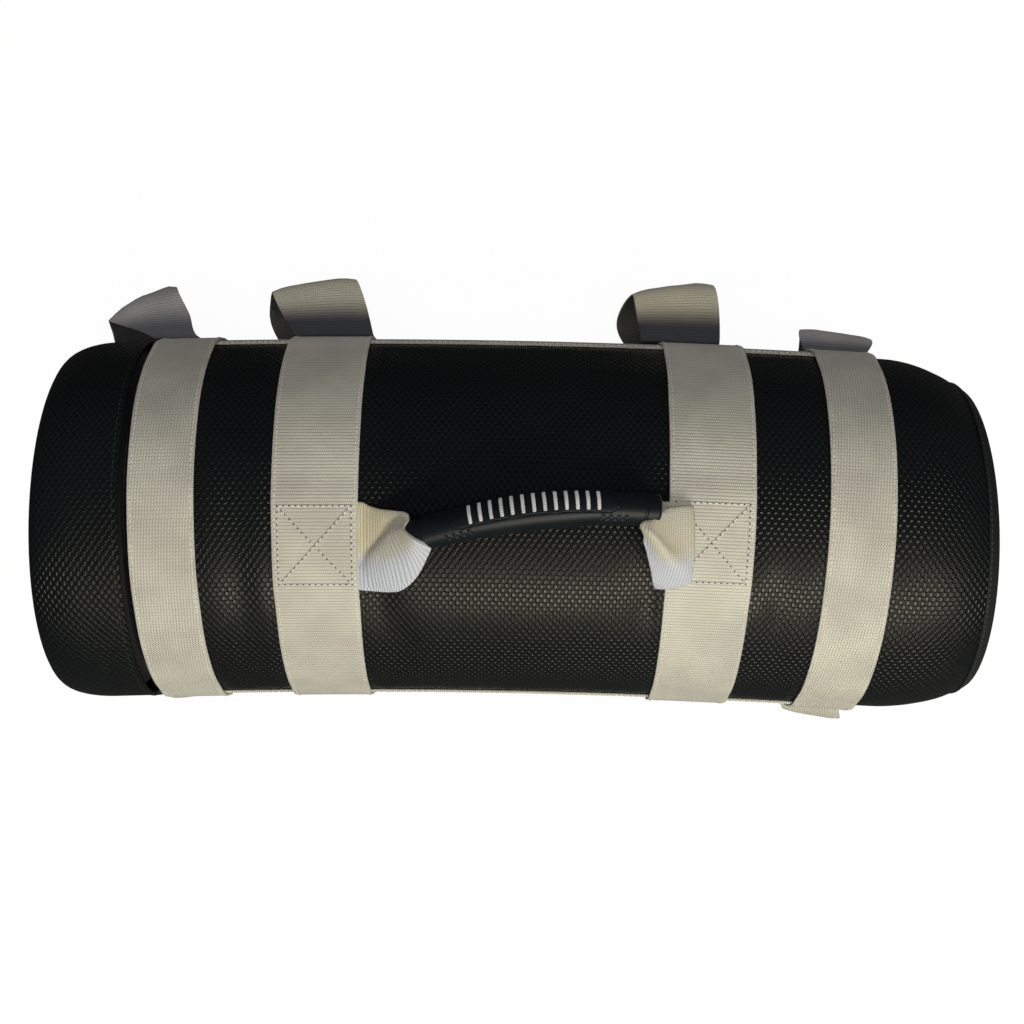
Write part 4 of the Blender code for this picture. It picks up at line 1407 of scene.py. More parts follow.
@dataclass
class Lid(Assembly):
    """Zipped lid: skirt with its rounded corner, and end disc."""

    corner_depth: float = 0.028
    corner_drop: float = 0.010
    rim_fold: float = 0.0050
    seam_inset: float = 0.0032
    dome: float = 0.0015
    turn_steps: int = 160

    def build(self) -> None:
        """Builds skirt and disc."""
        form = self.form
        rim_x = -form.left_reach
        rim_radius = form.lid_radius - self.corner_drop
        line = [(rim_x, rim_radius - self.rim_fold), (rim_x, rim_radius - self.rim_fold / 2)]
        line += corner_line(rim_x, rim_radius, self.corner_depth, self.corner_drop, 12)
        start = line[-1][0]
        line += [(mix(start, form.lid_edge, share), form.lid_radius)
                 for share in even_shares(8)[1:]]
        mesh = turned_mesh("lid_shell", wall_outline(line, form.cover_wall), form.place_on_lid,
                           self.turn_steps)
        shell = self.shop.hand_over(mesh, "black_vinyl", "black_vinyl", "lid", ("lid_skirt",))
        seam_x = form.lid_edge - self.seam_inset
        path = [form.place_on_lid(seam_x, TURN * share, form.lid_radius + SEAM_PROUD)
                for share in even_shares(240)]
        self.shop.sew("lid_edge_stitches", [path], "dark_thread", "black_vinyl", "lid")
        face = dome_line(rim_x, -self.dome, rim_radius - self.rim_fold - form.fit_gap)
        outline = face + [(x + form.cover_wall, radius) for x, radius in face[::-1]]
        mesh = turned_mesh("lid_disc", outline, form.place_on_lid, self.turn_steps, closed=False,
                           flat_map=True)
        self.shop.hand_over(mesh, "black_vinyl", "black_vinyl", "lid", ("lid_panel",))


# Webbing


@dataclass
class Band(Assembly):
    """Webbing band sewn round the bag, over the straps that it crosses."""

    name: str
    centre: float
    width: float
    finish: str
    tab_angle: float | None = None
    tab_width: float = 0.0488
    edge_inset: float = 0.0021
    pressed_in: float = 0.0005
    wander: float = 0.0003
    box_share: float = 0.93
    box_margin: float = math.radians(1.0)
    turn_steps: int = 240

    @property
    def crossings(self) -> list[tuple[float, float]]:
        """Straps under the band.

        Returns:
            Middle and half angle of each.
        """
        form = self.form
        half = form.narrow_webbing / 2 / form.cover_radius
        found = [(RAIL_FRONT, half), (RAIL_BACK, half)]
        if self.tab_angle is not None:
            found.append((self.tab_angle, self.tab_width / 2 / form.cover_radius))
        return found

    def inner_radius(self, angle: float) -> float:
        """Inner radius of the band.

        Args:
            angle: angle round the bag.

        Returns:
            The radius there, larger over the straps that it crosses.
        """
        form = self.form
        lift = 0.0
        for middle, half in self.crossings:
            away = abs(math.remainder(angle - middle, TURN))
            lift = max(lift, 1 - smooth_share((away - half) / BAND_FACET))
        return form.cover_radius + form.fit_gap + lift * form.layer

    def build(self) -> None:
        """Builds the band as one closed ring."""
        form = self.form
        shares = across_shares(self.width, form.webbing_thickness, 7)
        rows = []
        for step in range(self.turn_steps):
            angle = TURN * step / self.turn_steps
            middle = self.inner_radius(angle) + form.webbing_thickness / 2
            spot = Vector((math.cos(angle), math.sin(angle), self.centre))
            centre = self.centre + self.wander * ripple(spot, 0.3)
            rows.append([form.place(centre + share * self.width / 2, angle, middle)
                         for share in shares])
        self.shop.strap(self.name + "_webbing", rows, self.finish, self.name, closed=True)
        self.build_seams()

    def top(self, across: float, angle: float, proud: float = 0.0) -> Vector:
        """Place on the band's outer face, at a share across it from -1 to 1."""
        radius = self.inner_radius(angle) + self.form.webbing_thickness + proud
        return self.form.place(self.centre + across * self.width / 2, angle, radius)

    def build_seams(self) -> None:
        """Builds the stitches along both edges, and the crossed box over a tab."""
        inset = 1 - 2 * self.edge_inset / self.width
        turns = []
        for share in even_shares(self.turn_steps + 1):
            under = smooth_share((-math.cos(TURN * share) - 0.8) / 0.15)
            turns.append((TURN * share, mix(SEAM_PROUD, -self.pressed_in, under)))
        self.shop.sew(self.name + "_edge_stitches",
                      [[self.top(side, *turn) for turn in turns] for side in (-inset, inset)])
        if self.tab_angle is not None:
            half = self.tab_width / 2 / self.form.cover_radius - self.box_margin
            self.build_box(inset * self.box_share, self.tab_angle - half, self.tab_angle + half)

    def build_box(self, side: float, low: float, high: float) -> None:
        """Builds the crossed box of stitches over a tab, with painted shade in its needle holes.

        Args:
            side: half width of the box, as a share of the band's.
            low: angle at which it starts.
            high: angle at which it ends.
        """
        corners = [(-side, low), (side, low), (side, high), (-side, high)]
        lines = list(zip(corners, corners[1:] + corners[:1]))
        lines += [(corners[0], corners[2]), (corners[1], corners[3])]
        paths = [[self.top(mix(near[0], far[0], share), mix(near[1], far[1], share),
                           2 * SEAM_PROUD) for share in even_shares(30)] for near, far in lines]
        box = Seam(length=0.0023, gap=0.0011, radius=0.00042)
        self.shop.sew(self.name + "_box_stitches", paths, seam=box)
        self.build_needle_hole_shade(paths, box)

    def build_needle_hole_shade(self, paths: list[list[Vector]], box: Seam) -> None:
        """Builds dark pieces between the stitches of the box: painted shade in the needle holes.

        Args:
            paths: points of its seams.
            box: its kind of stitch.
        """
        spacing = box.length + box.gap
        hole = box.gap * 0.8
        shifted = []
        for path in paths:
            ahead = (path[1] - path[0]).normalized() * spacing / 2
            shifted.append([point + ahead for point in path])
        # Dark thread stands in for the shade inside the needle holes: painted shade.
        self.shop.sew(self.name + "_needle_hole_shade", shifted, "dark_thread",
                      seam=Seam(length=hole, gap=spacing - hole, radius=0.00036, sections=4))


def build_rail(shop: Workshop, name: str, angle: float, start: float, end: float,
               seam_inset: float = 0.0018) -> None:
    """Builds a strap along the bag, sewn down under the bands.

    Args:
        shop: what the piece is made with.
        name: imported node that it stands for.
        angle: its angle round the bag.
        start: where it starts along the bag.
        end: where it ends.
        seam_inset: distance of its seams from its edges.
    """
    form = shop.form
    half = form.narrow_webbing / 2 / form.cover_radius
    radius = form.cover_radius + form.fit_gap + form.webbing_thickness / 2
    shares = across_shares(form.narrow_webbing, form.webbing_thickness, 7)
    rows = []
    for step in even_shares(90):
        x = mix(start, end, step)
        rows.append([form.place(x, angle + share * half, radius) for share in shares])
    shop.strap(name + "_webbing", rows, "dashed_webbing", name)
    top = form.cover_radius + form.layer + SEAM_PROUD
    seam_half = half - seam_inset / form.cover_radius
    paths = [[form.place(mix(start, end, share), angle + side, top)
              for share in even_shares(200)] for side in (-seam_half, seam_half)]
    shop.sew(name + "_stitches", paths)


@dataclass
class Loop(Assembly):
    """Carry loop: a strap that stands up from a band between its two sewn feet."""

    name: str
    band: Band
    middle: float
    rise: float
    foot_shift: float
    lean: float
    far_lean: float
    haste: float
    slant: float
    pinch: float
    finish: str
    crumple: float = 0.0012
    curve: float = 0.02
    swell: float = 0.0
    tuck: float = 0.0
    # share of the lift on the loop's inside, which darkens it with painted shade
    inner_lift: float = 0.35
    edge_drop: float = 0.05
    edge_start: float = 0.65
    length_steps: int = 110
    seam_share: float = 0.9
    seam_places: tuple = (-1.85, -1.20, 1.20, 1.85)

    half_path_shares = (
        (1.00, 0.00), (2.00, 0.00), (2.16, 0.05), (2.16, 0.18), (2.08, 0.40),
        (1.92, 0.62), (1.60, 0.83), (0.90, 0.97), (0.00, 1.00),
    )

    def foot(self, steps: float) -> tuple[float, float]:
        """Where the strap would lie on its band.

        Args:
            steps: place along the band from the loop's middle, in facets of the band.

        Returns:
            The angle round the bag and the radius of the strap's middle.
        """
        middle = round(math.radians(self.middle) / BAND_FACET) * BAND_FACET
        angle = middle + steps * BAND_FACET
        lift = self.form.fit_gap + self.form.webbing_thickness * 3 / 2
        return angle, self.band.inner_radius(angle) + lift

    def build(self) -> None:
        """Builds the loop with its seams."""
        form = self.form
        half = [(-steps, up) for steps, up in self.half_path_shares]
        whole = half + [(-steps, up) for steps, up in half[-2::-1]]
        width = self.band.width
        rows = []
        lifts = []
        for steps, up in curve_through(whole, even_shares(self.length_steps)):
            angle, base = self.foot(steps)
            up = max(0.0, up)
            lifts.append(up)
            far = smooth_share((steps / 2 + 1) / 2)
            lean = self.lean * (1 - (1 - min(1.0, up)) ** self.haste)
            tuck = self.tuck * far * math.sin(math.pi * min(1.0, up))
            x_middle = self.band.centre + self.foot_shift + lean + up * self.far_lean * far + tuck
            half_width = width / 2 * (1 - self.pinch * (1 - smooth_share(2 * up)))
            half_width *= 1 + self.swell * math.sin(math.pi * 0.8 * min(1.0, up))
            row = []
            for share in across_shares(width, form.webbing_thickness, 9):
                past = (abs(share) - self.edge_start) / (1 - self.edge_start)
                arch = self.curve * (1 - share ** 2) - self.edge_drop * smooth_share(past)
                height = up * self.rise * (1 + (share * self.slant + arch) * up)
                x = x_middle + share * half_width
                spot = Vector((x, steps * 0.01, height))
                crease = ripple(spot, 0.014, 3.0) + ripple(spot, 0.006, 5.0) / 3
                slack = up * self.crumple * crease
                row.append(form.place(x, angle + slack / base, base + height))
            rows.append(row)
        mesh = strap_mesh(self.name + "_webbing", rows, form.webbing_thickness)
        self.mark_lift(mesh, rows, lifts)
        self.shop.hand_over(mesh, self.finish, "grey_webbing", nodes=(self.name,))
        self.build_seams()

    def build_seams(self) -> None:
        """Builds the stitches across both of its feet."""
        centre = self.band.centre + self.foot_shift
        reach = self.band.width / 2 * (1 - self.pinch) * self.seam_share
        paths = []
        for angle, base in map(self.foot, self.seam_places):
            top = base + self.form.webbing_thickness / 2
            paths.append([self.form.place(mix(centre - reach, centre + reach, share), angle, top)
                          for share in even_shares(12)])
        self.shop.sew(self.name + "_stitches", paths)

    def mark_lift(self, mesh: bpy.types.Mesh, rows: list[list[Vector]],
                  lifts: list[float]) -> None:
        """Marks how high each spot of the loop stands, and its inside as low, for the painted shade
        of its finish.

        Args:
            mesh: mesh of the strap.
            rows: points of the sheet in the strap's middle.
            lifts: share of the loop's rise at each row.
        """
        count = len(rows[0])
        ring = 2 * count - 2
        centre = sum((row[count // 2] for row in rows), Vector()) / len(rows)
        marks = mesh.attributes.new(LIFT, "FLOAT", "POINT")
        for index, mark in enumerate(marks.data):
            step, place = divmod(index, ring)
            step = min(step, len(rows) - 1)
            sheet = rows[step][place if place < count else ring - place]
            spot = mesh.vertices[index].co
            inside = (spot - centre).length < (sheet - centre).length
            mark.value = lifts[step] * (self.inner_lift if inside else 1.0)


# Grip and its tabs


@dataclass
class Grip(Assembly):
    """Moulded grip on its webbing core, with a ribbed insert whose stripes come through."""

    axis_height: float = 0.0125
    lean: float = math.radians(40)
    rise: float = 0.0110
    radius_middle: float = 0.0110
    radius_end: float = 0.0096
    end_round: float = 0.0022
    ring_place: float = 0.0090
    ring_width: float = 0.0016
    ring_depth: float = 0.0005
    panel_rise: float = 0.0005
    panel_half_angle: float = math.radians(47)
    panel_half_length: float = 0.0470
    panel_corner: float = 0.0065
    panel_taper: float = 0.40
    panel_edge: float = 0.0008
    groove_depth: float = 0.0005
    groove_width: float = 0.0006
    pattern_shift: float = 0.0013
    slip_middle: float = math.radians(2.5)
    slip_end: float = math.radians(12)
    dimple_pitch: float = 0.0044
    dimple_row_pitch: float = 0.0025
    dimple_radius: float = 0.0014
    dimple_depth: float = 0.0006
    dimple_angle: float = math.radians(52)
    dimple_start: float = 0.0355
    dimple_columns: int = 4
    strap_reach: float = 0.0040
    strap_width: float = 0.0110
    strap_thickness: float = 0.0044
    stripe_count: int = 13
    stripe_pitch: float = 0.00583
    stripe_width: float = 0.0022
    stripe_foot: float = math.radians(-40)
    stripe_top: float = math.radians(24)
    stripe_proud: float = 0.0003
    stripe_ribs: int = 11
    stripe_rib_depth: float = 0.0006
    stripe_sink: float = 0.0004
    stripe_tip: float = 0.55
    stripe_columns: int = 10
    stripe_rows: int = 44
    body_steps: int = 420
    body_sides: int = 160
    crowding: float = 0.35
    bend_reach: float = 3.6
    left_place: tuple = (-0.0639, -0.0138)
    right_place: tuple = (0.0849, 0.0062)

    def __post_init__(self) -> None:
        """Works out the swing axis and the grip's own frame."""
        self.left, self.right = (
            Vector((x, y, math.sqrt(self.form.cover_radius ** 2 - y ** 2) + self.axis_height))
            for x, y in (self.left_place, self.right_place)
        )
        along = (self.right - self.left).normalized()
        across = Vector((0, 0, 1)).cross(along).normalized()
        up = along.cross(across)
        outward = up * math.cos(self.lean) + across * math.sin(self.lean)
        self.turn = Matrix((along, outward.cross(along), outward)).transposed()
        self.half_chord = (self.right - self.left).length / 2 - self.strap_reach
        self.arc_radius = (self.half_chord ** 2 + self.rise ** 2) / (2 * self.rise)
        self.half_angle = math.asin(self.half_chord / self.arc_radius)
        self.half_length = self.arc_radius * self.half_angle

    def place(self, distance: float, around: float, reach: float) -> Vector:
        """Place in the scene, from the distance along the arch and a polar place round it.

        Args:
            distance: distance along the arch from its middle.
            around: angle round it, from its outer side.
            reach: distance from its centre line.

        Returns:
            The place on the grip at rest.
        """
        bend = distance / self.arc_radius
        rise = self.arc_radius + reach * math.cos(around)
        own = Vector((
            self.half_chord + self.strap_reach + rise * math.sin(bend),
            reach * math.sin(around),
            rise * math.cos(bend) - self.arc_radius * math.cos(self.half_angle),
        ))
        return self.turn @ own + self.left + self.form.seat

    def radius(self, distance: float) -> float:
        """Radius of the grip.

        Args:
            distance: distance along the arch from its middle.

        Returns:
            The radius there, less the ring near each end.
        """
        to_end = self.half_length - abs(distance)
        radius = mix(self.radius_middle, self.radius_end,
                     smooth_share(abs(distance) / self.half_length))
        radius -= arc_drop(self.end_round, max(0.0, self.end_round - to_end))
        off_ring = abs(to_end - self.ring_place) / (self.ring_width / 2)
        return radius - self.ring_depth * (1 - smooth_share((off_ring - 0.6) / 0.6))

    def slip(self, distance: float) -> float:
        """Angle by which the panel, stripes and dimples lie round toward the camera's side."""
        share = (distance - self.pattern_shift) / self.panel_half_length
        return mix(self.slip_middle, self.slip_end, min(1.0, share ** 2))

    def relief(self, distance: float, around: float) -> float:
        """Height of the raised panel, less its outline groove and the dimples at its ends.

        Args:
            distance: distance along the arch from its middle.
            around: angle round it, from its outer side.

        Returns:
            The height there.
        """
        around += self.slip(distance)
        distance -= self.pattern_shift
        past = abs(distance) - self.panel_half_length
        corner = smooth_share((past + self.panel_corner) / self.panel_corner)
        taper = self.panel_half_angle * (1 - corner * self.panel_taper)
        inside = min(-past, (taper - abs(around)) * self.radius_middle)
        height = self.panel_rise * smooth_share(inside / self.panel_edge + 0.5)
        height -= self.groove_depth * (1 - smooth_share(abs(inside) / self.groove_width))
        row = (-around - self.dimple_angle) * self.radius_middle / self.dimple_row_pitch
        column = (abs(distance) - self.dimple_start) / self.dimple_pitch
        if 0 <= row < 2 and 0 <= column < self.dimple_columns:
            column += 0.5 * (int(row) % 2)
            away = math.hypot((row % 1 - 0.5) * self.dimple_row_pitch,
                              (column % 1 - 0.5) * self.dimple_pitch)
            height -= self.dimple_depth * (1 - smooth_share(away / self.dimple_radius))
        return height

    def build(self) -> None:
        """Builds the moulded body, its core and the stripes."""
        self.build_body()
        self.build_core()
        self.build_stripes()

    def build_body(self) -> None:
        """Builds the moulded body with its raised panel."""
        angles = [TURN * side / self.body_sides - math.pi for side in range(self.body_sides + 1)]
        rows = []
        cloth = []
        for share in even_shares(self.body_steps):
            eased = share - math.sin(TURN * share) / TURN * self.crowding
            distance = mix(-self.half_length, self.half_length, eased)
            radius = max(PINHOLE, self.radius(distance))
            rows.append([self.place(distance, around, radius + self.relief(distance, around))
                         for around in angles[:-1]])
            cloth.append([(distance, around * self.radius_middle) for around in angles])
        mesh = skin_mesh("grip_moulding", rows, cloth, wrap_columns=True, caps=True)
        self.shop.hand_over(mesh, "grip_rubber", "grip_rubber", "grip", ("grip_body",))

    def build_core(self) -> None:
        """Builds the webbing core that goes through the grip."""
        rows = []
        end = self.half_length + self.strap_reach - self.form.fit_gap / 2
        for share in even_shares(40):
            distance = mix(-end, end, share)
            inside = max(-self.half_length, min(self.half_length, distance))
            past = self.turn @ Vector((distance - inside, 0, 0))
            row = []
            for across in across_shares(self.strap_width, self.strap_thickness, 3):
                side = across * self.strap_width / 2
                around = math.copysign(math.pi / 2, side)
                row.append(self.place(inside, around, abs(side)) + past)
            rows.append(row)
        self.shop.strap("grip_core", rows, "dashed_webbing", "grip_strap", body="grip",
                        thickness=self.strap_thickness)

    def build_stripes(self) -> None:
        """Builds the stripes with their zigzag ribs as one insert."""
        points = []
        faces = []
        first = self.pattern_shift - self.stripe_pitch * (self.stripe_count - 1) / 2
        for index in range(self.stripe_count):
            middle = first + self.stripe_pitch * index
            base = len(points)
            for share in even_shares(self.stripe_rows + 1):
                around = mix(self.stripe_foot, self.stripe_top, share) - self.slip(middle)
                tip = math.sqrt(max(0.0, 1 - (2 * share - 1) ** 16))
                for side in (2 * place - 1 for place in even_shares(self.stripe_columns + 1)):
                    wave = abs((share * self.stripe_ribs + 0.5 * abs(side)) % 1 * 2 - 1)
                    edge = math.sqrt(max(0.0, 1 - abs(side) ** 6))
                    height = self.stripe_proud + self.stripe_rib_depth * wave
                    reach = self.radius(middle) + self.panel_rise - self.stripe_sink
                    reach += (height + self.stripe_sink) * edge * tip
                    narrow = mix(self.stripe_tip, 1.0, tip)
                    distance = middle + side * self.stripe_width / 2 * narrow
                    points.append(self.place(distance, around, reach))
            wide = self.stripe_columns + 1
            for step in range(self.stripe_rows):
                for column in range(self.stripe_columns):
                    corner = base + step * wide + column
                    faces.append((corner, corner + 1, corner + wide + 1, corner + wide))
        mesh = bpy.data.meshes.new("grip_stripes")
        mesh.from_pydata(points, [], faces)
        tidy_mesh(mesh)
        self.shop.hand_over(mesh, "stripe_insert", "stripe_insert", "grip", ("grip_insert",))


@dataclass
class Tab(Assembly):
    """Webbing tab that holds one end of the grip: sewn under a band, folded and gathered.

    Its free part is shaped from ribs that run across the webbing. Each spot of a rib is
    set by where it shows in the photograph and by its height over the cover in millimetres.
    """

    name: str
    band: Band
    side: int
    middle_angle: float
    ribs: tuple
    blend_start: Vector
    blend_end: Vector
    tuck: float = 0.0490
    view: View = View()
    length_steps: int = 130

    def tucked_ribs(self) -> list[list[Vector]]:
        """Ribs of the part under the band.

        Returns:
            The points of each rib.
        """
        form = self.form
        half = self.band.tab_width / 2 / form.cover_radius
        angles = [self.middle_angle + half * (1 - 2 * share)
                  for share in even_shares(len(self.ribs[0]))]
        edge = self.band.centre - self.side * self.band.width / 2
        radius = form.cover_radius + form.fit_gap + form.webbing_thickness / 2
        return [[form.place(edge + self.side * self.tuck * share, angle, radius)
                 for angle in angles] for share in (1.0, 0.7, 0.4, 0.12)]

    def build(self) -> None:
        """Builds the tab."""
        form = self.form
        grid = self.tucked_ribs()
        for rib in self.ribs:
            grid.append([self.view.under(form, column, row, height / 1000)
                         for column, row, height in rib])
        columns = [curve_through(spots, even_shares(self.length_steps)) for spots in zip(*grid)]
        edge_shares = across_shares(self.band.tab_width, form.webbing_thickness, 21)
        shares = [(1 + share) / 2 for share in edge_shares]
        rows = [[Vector(point) for point in curve_through(spots, shares)]
                for spots in zip(*columns)]
        mesh = strap_mesh(self.name + "_webbing", rows, form.webbing_thickness)
        item = self.shop.hand_over(mesh, "aged_webbing_with_painted_light", "grey_webbing", "", (self.name,))
        tuple(self.blend_start)
        tuple(self.blend_end)
        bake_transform(item)


LEFT_RIBS = (
    ((361, 502, 0.9), (361, 512, 1.0), (361, 524, 1.0), (361, 538, 1.0), (361, 552, 1.1),
     (361, 563, 1.2), (361, 571, 2.4), (361, 590, 2.6)),
    ((370, 506, 1.8), (370, 515, 2.4), (370, 527, 2.8), (370, 540, 2.6), (370, 549, 1.8),
     (370, 556, 5.4), (371, 572, 6.4), (374, 591, 4.2)),
    ((380, 509, 4.2), (380, 517, 5.0), (380, 526, 5.2), (380, 534, 4.4), (380, 540, 3.4),
     (379, 547, 8.8), (383, 570, 10.8), (388, 592, 7.0)),
    ((389, 510, 6.4), (389, 515, 6.6), (389, 520, 6.0), (389, 525, 5.0), (388, 530, 4.8),
     (387, 538, 11.4), (396, 562, 15.8), (402, 590, 9.6)),
    ((397, 511, 9.6), (397, 514, 9.6), (397, 517, 8.6), (396, 520, 7.6), (395, 525, 8.8),
     (396, 533, 15.0), (408, 556, 20.8), (416, 578, 13.2)),
    ((404, 512, 12.5), (404, 515, 13.5), (404, 518, 13.5), (403, 521, 13.0), (402, 525, 14.5),
     (402, 531, 18.8), (414, 546, 24.4), (426, 560, 17.2)),
    ((408, 515, 13.5), (408, 517, 15.0), (408, 520, 16.5), (406, 523, 17.8), (404, 526, 19.2),
     (404, 531, 21.4), (416, 541, 25.9), (431, 546, 18.7)),
    ((407, 519, 11.0), (407, 521, 12.0), (406, 522, 13.5), (405, 525, 15.0), (404, 528, 16.5),
     (405, 532, 18.0), (413, 538, 20.0), (422, 543, 15.5)),
    ((401, 527, 9.5), (401, 529, 9.8), (401, 531, 10.2), (400, 533, 10.5), (400, 535, 10.8),
     (400, 538, 11.2), (401, 541, 11.5), (402, 545, 12.0)),
)
RIGHT_RIBS = (
    ((670, 501, 0.9), (670, 519, 1.0), (670, 537, 1.0), (670, 555, 1.0), (670, 571, 1.0),
     (670, 588, 1.0)),
    ((663, 502, 1.6), (663, 519, 2.2), (663, 537, 2.4), (663, 555, 2.4), (663, 571, 2.2),
     (662, 588, 2.0)),
    ((672, 502, 3.2), (672, 519, 3.6), (672, 537, 3.8), (672, 555, 3.8), (672, 571, 3.6),
     (671, 587, 3.2)),
    ((687, 501, 3.8), (688, 519, 4.2), (688, 537, 4.2), (688, 555, 4.2), (687, 570, 4.0),
     (685, 585, 3.4)),
    ((692, 506, 6.0), (693, 521, 7.0), (693, 539, 7.4), (693, 556, 7.4), (692, 569, 6.6),
     (690, 583, 4.6)),
    ((684, 506, 9.4), (684, 520, 10.2), (684, 541, 10.4), (685, 563, 11.4), (683, 576, 10.4),
     (678, 588, 4.4)),
    ((675, 507, 12.0), (674, 522, 13.2), (673, 545, 14.8), (673, 561, 17.0), (669, 576, 10.0),
     (663, 589, 5.6)),
    ((666, 509, 15.0), (664, 521, 17.2), (663, 538, 19.2), (663, 550, 21.2), (659, 567, 12.0),
     (654, 587, 7.0)),
    ((659, 514, 17.0), (656, 520, 19.8), (655, 530, 22.0), (655, 540, 23.8), (653, 555, 15.0),
     (651, 571, 10.6)),
    ((653, 518, 18.6), (650, 522, 20.8), (648, 527, 22.8), (648, 533, 23.8), (648, 544, 17.0),
     (647, 553, 13.6)),
    ((646, 521, 19.0), (643, 523, 21.0), (641, 526, 21.0), (643, 531, 20.0), (645, 536, 18.5),
     (644, 541, 16.5)),
    ((652, 517, 15.0), (649, 520, 15.0), (647, 524, 15.0), (648, 528, 15.0), (650, 533, 14.5),
     (650, 538, 13.5)),
    ((663, 501, 11.0), (663, 504, 11.2), (663, 508, 11.5), (663, 512, 11.8), (664, 516, 12.0),
     (665, 520, 12.0)),
)


# Zip and contents


@dataclass
class Zip(Assembly):
    """Tapes and coils of the lid's zip, and its hinge tape."""

    coil_sink: float = 0.0072
    coil_radius: float = 0.0010
    tape_thickness: float = 0.0006
    tape_width: float = 0.0130
    tape_flat: float = 0.0054
    hinge_half_angle: float = math.radians(12)
    parking_angle: float = math.radians(16)
    hinge_tape_width: float = 0.040
    hinge_tape_reach: float = 0.0100
    tooth_pitch: float = 0.0012
    turn_corners: int = 8

    def build(self) -> None:
        """Builds both halves of the zip and the hinge tape."""
        hinge = -math.pi / 2
        whole = (hinge + self.hinge_half_angle, hinge + TURN - self.hinge_half_angle)
        shorter = (whole[0], whole[1] - self.parking_angle)
        self.build_half("tube", 1, whole, "bag")
        self.build_half("lid", -1, shorter, "lid")
        self.build_hinge_tape(hinge)

    def build_half(self, owner: str, side: int, angles: tuple[float, float], body: str) -> None:
        """Builds the tape and the coil on one side of the zip.

        Args:
            owner: what the half is sewn to.
            side: -1 for the lid's side, 1 for the tube's.
            angles: where it starts and ends round the bag.
            body: body that it moves with.
        """
        form = self.form
        path_radius = form.cover_radius - self.coil_sink
        low = path_radius - self.coil_radius - form.fit_gap - self.tape_thickness / 2
        outer = form.cover_radius if side > 0 else form.lid_radius
        place = form.place if side > 0 else form.place_on_lid
        high = outer - form.cover_wall - form.fit_gap - self.tape_thickness / 2
        line = [(side * away - form.zip_reach, radius) for away, radius
                in ((form.fit_gap, low), (self.tape_flat, low), (self.tape_width, high))]
        path = curve_through(line[::side], even_shares(15))
        rows = [[place(x, mix(*angles, share), radius, smooth_share((radius - low) / (high - low)))
                 for x, radius in path] for share in even_shares(200)]
        self.shop.strap(owner + "_tape_cloth", rows, "zip_cloth", owner + "_zip_tape", "zip_tape",
                        body, self.tape_thickness)
        mesh = self.coil_mesh(owner + "_coil_teeth", side, angles, path_radius)
        self.shop.hand_over(mesh, "zip_coil", "zip_coil", body, (owner + "_zip_coil",))

    def coil_mesh(self, name: str, side: int, angles: tuple[float, float],
                  path_radius: float) -> bpy.types.Mesh:
        """Wire of the coil, wound along the zip.

        Args:
            name: name of the mesh.
            side: -1 for the lid's side, 1 for the tube's.
            angles: where it starts and ends round the bag.
            path_radius: radius of the coil's own axis.

        Returns:
            The finished mesh.
        """
        form = self.form
        run = (angles[1] - angles[0]) * path_radius
        turns = round(run / self.tooth_pitch)
        wire = self.coil_radius * 0.32
        wind = self.coil_radius - wire
        centre = -form.zip_reach + side * (self.coil_radius + form.fit_gap / 2)
        steps = turns * self.turn_corners
        rows = []
        cloth = []
        for step in range(steps + 1):
            spin = TURN * step / self.turn_corners
            row = []
            for corner in range(4):
                turn = TURN * corner / 4
                away = wind + wire * math.cos(turn)
                angle = mix(*angles, step / steps) + wire * math.sin(turn) / path_radius
                row.append(form.place(centre + away * math.cos(spin), angle,
                                      path_radius + away * math.sin(spin), 0.0))
            rows.append(row)
            cloth.append([(corner * wire, step * wire) for corner in range(5)])
        return skin_mesh(name, rows, cloth, wrap_columns=True, caps=True)

    def build_hinge_tape(self, hinge: float) -> None:
        """Builds the strip that the lid turns on, from inside the tube to inside the lid.

        Args:
            hinge: angle of its middle round the bag.
        """
        form = self.form
        half = self.hinge_tape_width / 2 / form.cover_radius
        inset = form.cover_wall + form.fit_gap + self.tape_thickness / 2
        rows = []
        for share in even_shares(24):
            angle = mix(hinge - half, hinge + half, share)
            row = []
            for step in even_shares(33):
                x = mix(form.lid_edge - self.hinge_tape_reach, form.mouth + self.tape_width, step)
                on_lid = smooth_share((form.mouth - x) / form.zip_slot)
                radius = mix(form.cover_radius, form.lid_radius, on_lid) - inset
                row.append(form.place(x, angle, radius))
            rows.append(row)
        mesh = strap_mesh("hinge_tape_cloth", rows, self.tape_thickness)
        item = self.shop.hand_over(mesh, "zip_cloth", "zip_tape", "", ("lid_hinge_tape",))
        start, end = (tuple(form.place(x, hinge, form.cover_radius))
                      for x in (form.mouth, form.lid_edge))
        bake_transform(item)
        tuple(start)
        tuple(end)


